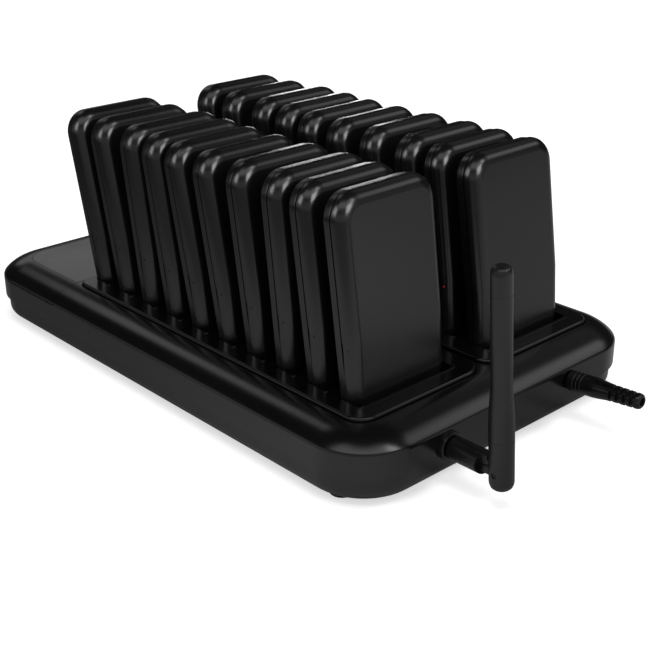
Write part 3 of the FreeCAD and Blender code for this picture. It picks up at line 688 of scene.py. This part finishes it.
# %% Crowned form
def crowned_form(name):
    """Outer skin of the case, from the skirt's foot to the deck, open below."""
    form = new_block(name, (-BASE_LENGTH / 2, -BASE_WIDTH / 2, SKIRT_BOTTOM),
                     (BASE_LENGTH / 2, BASE_WIDTH / 2, SHOULDER_FOOT))
    bevel_edges(form, upright, BASE_CORNER, PLAN_STEPS)
    open_up(form, lambda face: face.normal.z < -0.9)
    pick(form, "faces", lambda face: face.normal.z > 0.9)
    for before, after in zip(shoulder, shoulder[1:]):
        bpy.ops.mesh.inset(thickness=(before.x - after.x) * MM, depth=(after.y - before.y) * MM)
    done()
    return form


# %% [markdown]
# The case is two mouldings.  One carries the skirt all round and the deck behind the crease.
# The other is the console's cover, which sits on the skirt with a thin shadow line.  Both are
# cut from the same form with bisect, so the curve runs on from one to the other, and Solidify
# gives each its wall.

# %% Top shell
CREASE = -92.8
COVER_GAP = 0.3
SEAM = 0.5


def slice_form(obj, point, normal, clear_inner=False, clear_outer=False):
    """Cut an object all through with a plane, and clear one side if asked."""
    pick(obj, "faces", lambda face: True)
    bpy.ops.mesh.bisect(plane_co=place(*point), plane_no=normal, use_fill=False,
                        clear_inner=clear_inner, clear_outer=clear_outer)
    done()


def give_wall(obj):
    """Thicken an open skin inward to the moulding's wall."""
    modify(obj, "SOLIDIFY", thickness=WALL * MM, offset=-1, use_even_offset=True)


top_shell = crowned_form("base_top_shell_dressed")
slice_form(top_shell, (CREASE, 0, 0), X_AXIS)
slice_form(top_shell, (0, 0, SHOULDER_FOOT), Z_AXIS)
open_up(top_shell, lambda face: (local(face.calc_center_median()).x < CREASE
                                 and local(face.calc_center_median()).z > SHOULDER_FOOT))
give_wall(top_shell)

# %% Tray openings
TRAY_FRONT = -91.3
TRAY_LENGTH = 247.7
TRAY_INNER = 2.0
TRAY_OUTER = 92.3
TRAY_GAP = 0.6
TRAY_TOP = 40.0
TRAY_FRONT_RADIUS = 7.0
TRAY_REAR_RADIUS = 11.0
REAR_WALL = BASE_LENGTH / 2
ANTENNA_SPOT = (REAR_WALL, -51.0, 20.5)
PLUG_SPOT = (REAR_WALL, 46.5, 22.9)
ANTENNA_HOLE = 3.4
JACK_HOLE = 5.2
tray_rear = TRAY_FRONT + TRAY_LENGTH
tray_middle = TRAY_FRONT + TRAY_LENGTH / 2


def tray_block(name, side, grow, low, high):
    """Slab of a tray's outline, grown all round."""
    inner, outer = sorted((side * (TRAY_INNER - grow), side * (TRAY_OUTER + grow)))
    slab = new_block(name, (TRAY_FRONT - grow, inner, low), (tray_rear + grow, outer, high))
    bevel_edges(slab, lambda edge: upright(edge) and middle(edge).x < tray_middle,
                TRAY_FRONT_RADIUS + grow, 10)
    bevel_edges(slab, lambda edge: upright(edge) and middle(edge).x > tray_rear - 1,
                TRAY_REAR_RADIUS + grow, 12)
    return slab


for side in (-1, 1):
    carve(top_shell, tray_block("opening", side, TRAY_GAP, DECK - 2 * WALL, DECK + WALL))
for radius, spot in ((ANTENNA_HOLE, ANTENNA_SPOT), (JACK_HOLE, PLUG_SPOT)):
    carve(top_shell, lay(own_rod("hole", radius, 4 * WALL, "X"),
                         Matrix.Translation(place(*spot))))
finish_edges(top_shell, CASE_BREAK)

# %% Console cover
cover = crowned_form("console_cover_dressed")
slice_form(cover, (CREASE - COVER_GAP, 0, 0), X_AXIS, clear_outer=True)
slice_form(cover, (0, 0, SHOULDER_FOOT + SEAM), Z_AXIS, clear_inner=True)
give_wall(cover)

# %% [markdown]
# The keypad is a thin touch panel that lies flush in the cover.  Its recess is cut with a block
# of the panel's own outline, a quarter of a millimetre larger, so a fine line shows all round.

# %% Keypad panel
PANEL_FRONT = -157.5
PANEL_REAR = -93.7
PANEL_HALF_WIDTH = 91.75
PANEL_THICKNESS = 1.0
PANEL_GAP = 0.25
WINDOW_X = (-137.6, -113.6)
WINDOW_Y = (38.0, 82.0)
WINDOW_LEDGE = 1.5
panel_corner = BASE_CORNER - SHOULDER_RUN


def panel_block(name, grow, low, high):
    """Slab of the keypad's outline, grown all round."""
    slab = new_block(name, (PANEL_FRONT - grow, -PANEL_HALF_WIDTH - grow, low),
                     (PANEL_REAR + grow, PANEL_HALF_WIDTH + grow, high))
    bevel_edges(slab, lambda edge: upright(edge) and middle(edge).x < PANEL_FRONT + 1,
                panel_corner + grow, 12)
    return slab


carve(cover, panel_block("recess", PANEL_GAP, DECK - PANEL_THICKNESS, DECK + WALL))
carve(cover, new_block("window_hole", (WINDOW_X[0] + WINDOW_LEDGE, WINDOW_Y[0] + WINDOW_LEDGE,
                                       DECK - 2 * WALL),
                       (WINDOW_X[1] - WINDOW_LEDGE, WINDOW_Y[1] - WINDOW_LEDGE, DECK + WALL)))
finish_edges(cover, CASE_BREAK)

panel = panel_block("keypad_panel_dressed", 0, DECK - PANEL_THICKNESS, DECK)
carve(panel, new_block("window_hole", (WINDOW_X[0] - PANEL_GAP, WINDOW_Y[0] - PANEL_GAP, 0),
                       (WINDOW_X[1] + PANEL_GAP, WINDOW_Y[1] + PANEL_GAP, 2 * DECK)))
finish_edges(panel, SMALL_BREAK)

fit(top_shell, case_plastic, "base", "case", "base_top_shell")
fit(cover, case_plastic, "base", "case", "console_cover")
fit(panel, panel_film, "base", "panel", "keypad_panel")

# %% [markdown]
# ## Deck trays
#
# Each tray is a low plate with a rounded rim and ten tilted pockets that hang from it as thin
# cups.  The cups are made first as ten grown blocks and joined in, and then the pockets
# themselves are cut, so every pocket keeps an even wall.

# %% Trays
TRAY_EDGE = 1.3
POCKETS = 10
PITCH = 24.23
FIRST_X = -80.9
ROW_Y = 48.0
PAGER_WIDTH = 67.0
PAGER_FRONT = 7.0
PAGER_REAR = -6.2
PAGER_ABOVE = 103.4
PAGER_BELOW = 12.0
POCKET_TILT = 9.5
POCKET_FACE_GAP = 0.9
POCKET_SIDE_GAP = 0.5
POCKET_FLOOR = -12.6
POCKET_TOP = 4.0
POCKET_WALL = 1.6
CUP_TOP = -1.2
POCKET_CORNER = 2.0


def lean_matrix(side, index, lean):
    """Turn and move from a pager's own frame to its pocket, in metres."""
    origin = place(FIRST_X + index * PITCH, side * ROW_Y, TRAY_TOP)
    return Matrix.Translation(origin) @ Matrix.Rotation(math.radians(-lean), 4, "Y")


def pocket_row(name, side, grow, low, high):
    """Ten tilted pocket blocks as one tool: one is modelled and nine are copied."""
    half_y = PAGER_WIDTH / 2 + POCKET_SIDE_GAP + grow
    first = own_block(name, (PAGER_REAR - POCKET_FACE_GAP - grow, -half_y, low),
                      (PAGER_FRONT + POCKET_FACE_GAP + grow, half_y, high))
    bevel_edges(first, upright, POCKET_CORNER, 4)
    row = [first] + [copied(first) for _ in range(1, POCKETS)]
    for index, block in enumerate(row):
        block.data.transform(lean_matrix(side, index, POCKET_TILT))
    return merged(name, row)


def make_tray(name, side):
    """One tray with its rim, cups and pockets."""
    tray = tray_block(name, side, 0, DECK - WALL, TRAY_TOP)
    bevel_edges(tray, lambda edge: middle(edge).z > TRAY_TOP - 0.1 and not upright(edge),
                TRAY_EDGE, 4)
    carve(tray, pocket_row("cups", side, POCKET_WALL, POCKET_FLOOR - POCKET_WALL, CUP_TOP),
          "UNION")
    carve(tray, pocket_row("pockets", side, 0, POCKET_FLOOR, POCKET_TOP))
    finish_edges(tray, FINE_BREAK)
    return tray


fit(make_tray("near_tray_dressed", -1), tray_plastic, "base", "tray", "near_tray")
fit(make_tray("far_tray_dressed", 1), tray_plastic, "base", "tray", "far_tray")

# %% [markdown]
# ## Pagers
#
# A pager is a lean rounded slab, clipped together from a front shell and a back cover.  The
# front has a soft pillow edge that catches the light, the foot slants back to slip into its
# pocket, and a fine groove runs round where the two halves meet.  The foot is moved while the
# block is still plain, so that the later bevels run over it cleanly.

# %% Pager shell
PAGER_CORNER = 14.0
CORNER_STEPS = 14
PILLOW_EDGE = 7.2
PILLOW_STEPS = 10
PARTING_EDGE = 0.3
GROOVE_WIDTH = 0.9
GROOVE_DEPTH = 1.2
BACK_EDGE = 0.7
BACK_THICKNESS = 5.3
BACK_INSET = 0.3
FOOT_SLANT_HEIGHT = 42.0
FOOT_SLANT_DEPTH = 3.0
parting_x = PAGER_REAR + BACK_THICKNESS
slant_top = FOOT_SLANT_HEIGHT - PAGER_BELOW

pager_shell = own_block("pager_shell", (parting_x, -PAGER_WIDTH / 2, -PAGER_BELOW),
                        (PAGER_FRONT, PAGER_WIDTH / 2, PAGER_ABOVE))
pick(pager_shell, "faces", lambda face: True)
bpy.ops.mesh.bisect(plane_co=(0, 0, slant_top * MM), plane_no=Z_AXIS)
done()
pick(pager_shell, "verts", lambda vert: vert.co.x > 0 and vert.co.z < 0)
bpy.ops.transform.translate(value=(-FOOT_SLANT_DEPTH * MM, 0, 0))
done()


def at_corner(edge):
    """True for an edge at the ends of the slab that runs from front to back."""
    run = edge.verts[1].co - edge.verts[0].co
    mid = (edge.verts[0].co + edge.verts[1].co) / 2
    at_end = mid.z < -PAGER_BELOW * MM + 1e-5 or mid.z > PAGER_ABOVE * MM - 1e-5
    return abs(run.y) < 1e-6 and abs(run.x) > 1e-4 and abs(run.z) < 1e-6 and at_end


def rim_of(sign):
    """Test for the edges round the front face (1) or round the rear face (-1)."""
    def test(edge):
        """True for an edge between that face and a side face."""
        ends = [sign * face.normal.x > 0.95 for face in edge.link_faces]
        return sorted(ends) == [False, True]

    return test


on_front, on_back = rim_of(1), rim_of(-1)
bevel_edges(pager_shell, at_corner, PAGER_CORNER, CORNER_STEPS)
bevel_edges(pager_shell, on_front, PILLOW_EDGE, PILLOW_STEPS)
bevel_edges(pager_shell, on_back, PARTING_EDGE, 3)
print("pager shell:", len(pager_shell.data.polygons), "faces")

# %% Back cover
pager_back = own_block("pager_back",
                       (PAGER_REAR, -PAGER_WIDTH / 2 + BACK_INSET, BACK_INSET - PAGER_BELOW),
                       (parting_x - GROOVE_WIDTH, PAGER_WIDTH / 2 - BACK_INSET,
                        PAGER_ABOVE - BACK_INSET))
bevel_edges(pager_back, lambda edge: runs_along(edge, X_AXIS), PAGER_CORNER - BACK_INSET,
            CORNER_STEPS)
bevel_edges(pager_back, on_back, BACK_EDGE, 4)
bevel_edges(pager_back, on_front, PARTING_EDGE, 2)
pick(pager_back, "faces", lambda face: face.normal.x > 0.95)
bpy.ops.mesh.inset(thickness=GROOVE_DEPTH * MM)
bpy.ops.mesh.extrude_region_move(TRANSFORM_OT_translate={"value": (GROOVE_WIDTH * MM, 0, 0)})
done()
for half in (pager_shell, pager_back):
    smooth(half, 40)

# %% [markdown]
# Each pager stands at its own small angle, as hands have left them.  The two halves and a small
# status light in the side are copied for every pocket, each copy with its own mesh, and the
# lean goes into the mesh itself.  One light glows, and the others are off.

# %% Status light
LIGHT_SPOT = (2.2, -33.1, 26.4)
LIGHT_PROFILE = [(0.6, -0.3), (0.6, 0.02), (0.4, 0.08), (0.2, 0.1)]
LIT_BODY = "far_pager_09"

status_light = turned("status_light", LIGHT_PROFILE, 16)
lay(status_light, Matrix.Translation(Vector(LIGHT_SPOT) * MM),
    Matrix.Rotation(math.radians(90), 4, "X"))
smooth(status_light)

# %% Twenty pagers
LEANS = {
    "near": (-1, (12.6, 11.7, 7.9, 9.8, 11.8, 11.1, 8.6, 6.2, 8.1, 8.0)),
    "far": (1, (12.0, 11.0, 7.7, 9.2, 11.4, 11.0, 8.9, 6.8, 8.3, 9.0)),
}

for row, (side, leans) in LEANS.items():
    for index, lean in enumerate(leans):
        body = f"{row}_pager_{index + 1:02d}"
        lens = light_on if body == LIT_BODY else light_off
        for piece, label, finish, slot, nodes in (
                (pager_shell, "shell", pager_plastic, "pager", [f"{body}_shell"]),
                (pager_back, "back", pager_back_plastic, "pager_back", [f"{body}_back"]),
                (status_light, "light", lens, "window", [])):
            copy = lay(copied(piece), lean_matrix(side, index, lean))
            copy.name = f"{body}_{label}_dressed"
            pagers_only.objects.link(copy)
            fit(copy, finish, body, slot, *nodes)
for piece in (pager_shell, pager_back, status_light):
    bpy.data.objects.remove(piece)

# %% [markdown]
# ## Under the base
#
# The floor pan is a shallow tub with a rounded edge, a little smaller than the skirt, so a
# shadow line runs round below it.  Four screws sit deep in round wells in its corners, and
# four rubber feet carry it clear of the table.

# %% Floor pan
PAN_INSET = 2.0
UNDERSIDE = 2.0
PAN_EDGE = 7.0
SCREW_CORNER = 19.0
WELL_RADIUS = 3.4
WELL_TOP = 5.5
PILLAR_RADIUS = 5.0
PILLAR_TOP = 8.0
corner_x = BASE_LENGTH / 2 - SCREW_CORNER
corner_y = BASE_WIDTH / 2 - SCREW_CORNER
SCREW_SPOTS = [(end * corner_x, side * corner_y, 0) for end in (-1, 1) for side in (-1, 1)]

pan = new_block("base_bottom_shell_dressed",
                (PAN_INSET - BASE_LENGTH / 2, PAN_INSET - BASE_WIDTH / 2, UNDERSIDE),
                (BASE_LENGTH / 2 - PAN_INSET, BASE_WIDTH / 2 - PAN_INSET, SKIRT_BOTTOM))
bevel_edges(pan, upright, BASE_CORNER - PAN_INSET, PLAN_STEPS)
bevel_edges(pan, lambda edge: middle(edge).z < UNDERSIDE + 0.1 and not upright(edge),
            PAN_EDGE, 8)
open_up(pan, lambda face: face.normal.z > 0.9)
give_wall(pan)


def post(radius, low, high):
    """Upright rod between two heights of its own frame."""
    return own_rod("rod", radius, high - low, "Z", (0, 0, (low + high) / 2))


carve(pan, spread("pillars", post(PILLAR_RADIUS, UNDERSIDE + 1, PILLAR_TOP), SCREW_SPOTS),
      "UNION")
carve(pan, spread("wells", post(WELL_RADIUS, 0, WELL_TOP), SCREW_SPOTS))
finish_edges(pan, PAN_BREAK)
fit(pan, pan_plastic, "base", "pan", "base_bottom_shell")

# %% Feet and screws
FOOT_X = (-129.5, 148.0)
FOOT_Y = 96.0
FOOT_PROFILE = [(6.5, 2.0), (6.5, 0.7), (6.3, 0.2), (5.8, 0.0), (4.9, 0.0), (4.6, 0.3), (2.0, 0.3)]
SCREW_PROFILE = [(2.1, 3.5), (2.7, 3.65), (3.0, 4.1), (3.0, 5.5), (1.45, 5.5), (1.45, 16.9),
                 (0.7, 17.5)]
CROSS_ARMS = ((0.35, 1.6), (1.6, 0.35))
CROSS_HEIGHT = (3.0, 4.6)
FOOT_SPOTS = [(x, side * FOOT_Y, 0) for x in FOOT_X for side in (-1, 1)]
foot = turned("foot", FOOT_PROFILE)
feet = spread("rubber_feet_dressed", foot, FOOT_SPOTS)
smooth(feet)
fit(feet, foot_rubber, "base", "rubber", "rubber_feet")

screw = turned("screw", SCREW_PROFILE, 24)
for half_x, half_y in CROSS_ARMS:
    carve(screw, own_block("cross", (-half_x, -half_y, CROSS_HEIGHT[0]),
                           (half_x, half_y, CROSS_HEIGHT[1])))
screws = spread("base_screws_dressed", screw, SCREW_SPOTS)
smooth(screws)
fit(screws, steel, "base", "steel", "base_screws")

# %% [markdown]
# ## The antenna
#
# A ring nut clamps the antenna's socket to the wall.  A barrel turns on the socket, and the
# whip tilts on a pin through the barrel's flat tongue.  The whip is one turned form: a domed
# foot, a straight grip, a short taper and a slim rod with a soft tip, with two fine rings
# pressed into it.  The slot that lets it tilt is cut while it still stands at the origin.

# %% Antenna places
REST_SWIVEL = 5.1
HINGE_SPOT = (209.7, -51.0, 20.5)
NUT_LENGTH = 2.8
NUT_PROFILE = [(7.7, 0.0), (7.7, 2.0), (7.5, 2.5), (7.0, 2.8)]
BARREL_START = 3.4
BARREL_RADIUS = 6.15
BARREL_END = 23.0
STUD_BORE = 3.25
STUD_REACH = 14.4
TONGUE_START = 18.4
TONGUE_SHOULDER = 6.1
TONGUE_HALF = 2.5
TONGUE_RADIUS = 3.9
PIN_RADIUS = 1.5
PIN_HALF = 5.9
PIN_PLAY = 0.05
SLOT_GAP = 0.3
FOOT_SWEEP = 11.9
FOOT_CLEAR = 6.8
Z_TO_X = Matrix.Rotation(math.radians(90), 4, "Y")
on_stud = Matrix.Translation(place(*ANTENNA_SPOT))
swivel = on_stud @ Matrix.Rotation(math.radians(REST_SWIVEL), 4, "X") @ on_stud.inverted()
on_hinge = swivel @ Matrix.Translation(place(*HINGE_SPOT))
tongue_reach = HINGE_SPOT[0] - REAR_WALL

# %% Nut and barrel
nut = turned("antenna_nut_dressed", NUT_PROFILE)
carve(nut, own_rod("bore", STUD_BORE, 4 * NUT_LENGTH))
smooth(nut)
fit(lay(nut, on_stud, Z_TO_X), connector_plastic, "base", "connector", "antenna_nut")

barrel = turned("antenna_barrel_dressed", [
    (5.8, BARREL_START), (BARREL_RADIUS, BARREL_START + 0.35), (BARREL_RADIUS, BARREL_END)])
lay(barrel, Z_TO_X)
carve(barrel, own_rod("sweep", FOOT_SWEEP, 30, "Y", (tongue_reach, 0, 0)))
tongue = own_block("tongue", (TONGUE_START, -TONGUE_HALF, -TONGUE_RADIUS),
                   (tongue_reach, TONGUE_HALF, TONGUE_RADIUS))
carve(tongue, own_rod("nose", TONGUE_RADIUS, 2 * TONGUE_HALF, "Y", (tongue_reach, 0, 0)),
      "UNION")
carve(tongue, own_block("shoulder", (TONGUE_START, -TONGUE_HALF, 0),
                        (tongue_reach - FOOT_CLEAR, TONGUE_HALF, TONGUE_SHOULDER)), "UNION")
carve(barrel, tongue, "UNION")
carve(barrel, own_rod("bore", STUD_BORE, 2 * STUD_REACH, "X"))
carve(barrel, own_rod("eye", PIN_RADIUS + PIN_PLAY, 4 * TONGUE_HALF, "Y", (tongue_reach, 0, 0)))
finish_edges(barrel, SMALL_BREAK)
fit(lay(barrel, swivel, on_stud), knuckle_plastic, "antenna_swivel", "antenna",
    "antenna_barrel")

# %% Whip
RING_DEPTH = 0.12
SLOT_BACK = 14.0
SLOT_DROP = 24.0


def ring_groove(radius, height):
    """Four profile points of a fine pressed ring."""
    return [(radius, height), (radius - RING_DEPTH, height + 0.15),
            (radius - RING_DEPTH, height + 0.45), (radius, height + 0.6)]


whip = turned("antenna_whip_dressed", [
    (1.6, -10.0), (3.2, -9.8), (4.6, -9.2), (5.5, -8.3), (6.05, -6.8), (6.2, -5.3),
    *ring_groove(6.2, 17.7), (6.2, 26.5), (6.1, 30.0), (5.85, 35.0), (5.5, 40.5), (5.25, 45.0),
    (5.15, 49.0), *ring_groove(5.1, 92.4), (5.05, 102.2), (4.95, 103.7), (4.6, 104.9),
    (3.9, 105.8), (2.8, 106.4), (1.4, 106.6)], 64)
slot_half = TONGUE_HALF + SLOT_GAP
slot_radius = TONGUE_RADIUS + SLOT_GAP
for front, top in ((0, slot_radius), (slot_radius, 0)):
    carve(whip, own_block("slot", (-SLOT_BACK, -slot_half, -SLOT_DROP), (front, slot_half, top)))
carve(whip, own_rod("slot", slot_radius, 2 * slot_half, "Y"))
carve(whip, own_rod("pin_hole", PIN_RADIUS + PIN_PLAY, 26, "Y"))
smooth(whip, 30)
fit(lay(whip, on_hinge), antenna_rubber, "antenna_rod", "antenna", "antenna_whip")

pin = own_rod("antenna_hinge_pin_dressed", PIN_RADIUS, 2 * PIN_HALF, "Y", sides=24)
finish_edges(pin, PAN_BREAK)
fit(lay(pin, on_hinge), blacked_steel, "antenna_rod", "steel", "antenna_hinge_pin")

# %% [markdown]
# ## The power plug
#
# The plug is a smooth grip with three fine ribs at its root, a taper and a slotted strain
# relief.  A slot is a ring cut round a core that stays.  One is made as a disc without its
# core, and three are copied.

# %% Plug
PLUG_LIFT = 4.5
SLOT_PITCH = 4.2
SLOT_WIDTH = 2.0
SLOT_START = 28.3
SLOT_COUNT = 4
CORE_RADIUS = 2.9
SLOT_OUTER = 7.0
PLUG_END = 45.2
CABLE_HOLE = 2.2
PIN_BORE = 1.4
RIB_HEIGHTS = (5.0, 7.4, 9.8)
along_plug = (Matrix.Translation(place(*PLUG_SPOT))
              @ Matrix.Rotation(math.radians(90 - PLUG_LIFT), 4, "Y"))

profile = [(2.45, -9.0), (2.75, -8.7), (2.75, 0.8), (5.1, 0.8), (5.6, 1.3)]
for height in RIB_HEIGHTS:
    profile += [(5.6, height), (5.35, height + 0.1), (5.35, height + 0.7), (5.6, height + 0.8)]
profile += [(5.6, 16.5), (5.45, 19.0), (5.1, 22.0), (4.75, 25.0), (4.6, 27.5), (4.3, 43.2),
            (4.0, 44.4), (3.4, 45.0), (2.7, PLUG_END)]
plug = turned("dc_plug_dressed", profile)
carve(plug, own_rod("cable_hole", CABLE_HOLE, 3.0, "Z", (0, 0, PLUG_END)))
carve(plug, own_rod("bore", PIN_BORE, 18, "Z"))
slot_ring = own_rod("slot", SLOT_OUTER, SLOT_WIDTH)
carve(slot_ring, own_rod("core", CORE_RADIUS, 4 * SLOT_WIDTH))
slots = [lay(copied(slot_ring),
             Matrix.Translation((0, 0, (SLOT_START + index * SLOT_PITCH) * MM)))
         for index in range(SLOT_COUNT)]
bpy.data.objects.remove(slot_ring)
carve(plug, merged("slots", slots))
finish_edges(plug, FINE_BREAK)
fit(lay(plug, along_plug), plug_rubber, "plug", "plug_rubber", "dc_plug")

# %% [markdown]
# The jack is a small block behind the wall with a round collar in the wall's hole.  Its bore
# takes the plug, and a thin centre pin stands in it.

# %% Jack
JACK_BACK = -14.7
JACK_FRONT = -2.7
JACK_HALF = (7, 4)
COLLAR_RADIUS = 5.0
JACK_BORE = 3.7
JACK_PIN = 0.6
jack = own_block("dc_jack_dressed", (JACK_BACK, -JACK_HALF[0], -JACK_HALF[1]),
                 (JACK_FRONT, *JACK_HALF))
carve(jack, own_rod("collar", COLLAR_RADIUS, 2.5, "X", (-1.45, 0, 0)), "UNION")
carve(jack, own_rod("bore", JACK_BORE, 20.0, "X", (-0.2, 0, 0)))
finish_edges(jack, CONNECTOR_BREAK)
jack_pin = own_rod("jack_pin", JACK_PIN, 9.0, "X", (-6.7, 0, 0), 16)
jack = merged("dc_jack_dressed", [jack, jack_pin])
fit(lay(jack, Matrix.Translation(place(*PLUG_SPOT))), connector_plastic, "base", "connector",
    "dc_jack")

# %% [markdown]
# ## Window and keypad print
#
# A smoked window covers the display.  The keys are only printed on the touch panel: a thin
# frame and a plain digit for each, turned to face the person at the console.  The print is two
# hundredths of a millimetre thick, so it reads as ink.

# %% Display window
window = new_block("display_window_dressed", (WINDOW_X[0], WINDOW_Y[0], DECK - PANEL_THICKNESS),
                   (WINDOW_X[1], WINDOW_Y[1], DECK))
finish_edges(window, SMALL_BREAK)
fit(window, smoked_lens, "base", "window", "display_window")

# %% Keypad print
KEYS = ("123", "456", "789", "*0#")
KEY_ROWS = (-105.0, -118.5, -132.0, -145.5)
KEY_COLUMNS = (16.0, -8.0, -32.0)
KEY_HALF = (5.0, 9.0)
KEY_CORNER = 2.0
KEY_LINE = 0.45
PRINT_THICKNESS = 0.02
DIGIT_SIZE = 6.5
KEY_STEPS = 5


def key_block(name, row_x, column_y, shrink, low, high):
    """Block of a key's outline, shrunk all round, with rounded corners."""
    half_x, half_y = KEY_HALF
    block = new_block(name, (row_x - half_x + shrink, column_y - half_y + shrink, low),
                      (row_x + half_x - shrink, column_y + half_y - shrink, high))
    bevel_edges(block, upright, KEY_CORNER - shrink, KEY_STEPS)
    return block


print_pieces = []
for row_x, labels in zip(KEY_ROWS, KEYS):
    for column_y, label in zip(KEY_COLUMNS, labels):
        frame_block = key_block("key", row_x, column_y, 0, DECK, DECK + PRINT_THICKNESS)
        carve(frame_block, key_block("hole", row_x, column_y, KEY_LINE, DECK - 1, DECK + 1))
        only()
        bpy.ops.object.text_add(location=place(row_x, column_y, DECK + PRINT_THICKNESS / 2),
                                rotation=(0, 0, -math.pi / 2))
        digit = bpy.context.active_object
        digit.data.body = label
        digit.data.size = DIGIT_SIZE * MM
        digit.data.extrude = PRINT_THICKNESS / 2 * MM
        digit.data.align_x = "CENTER"
        digit.data.align_y = "CENTER"
        only(digit)
        bpy.ops.object.convert(target="MESH")
        print_pieces += [frame_block, named("digit")]
keypad_print = merged("keypad_print", print_pieces)
fit(keypad_print, key_ink, "base", "panel")

# %% [markdown]
# ## Pieces kept from the CAD model
#
# The boards, contacts and socket lie inside the case, where only a slit shows them.  Their
# plain solids stay, and take their finishes.

# %% Carried-over nodes
CARRIED = {
    "main_board": board_lacquer, "charging_board": board_lacquer,
    "charging_contacts": contact_gold, "antenna_socket": connector_metal,
    "radio_module": board_lacquer,
}
for name, material in CARRIED.items():
    paint(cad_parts[name], material)
print("carried over:", len(CARRIED), "nodes")
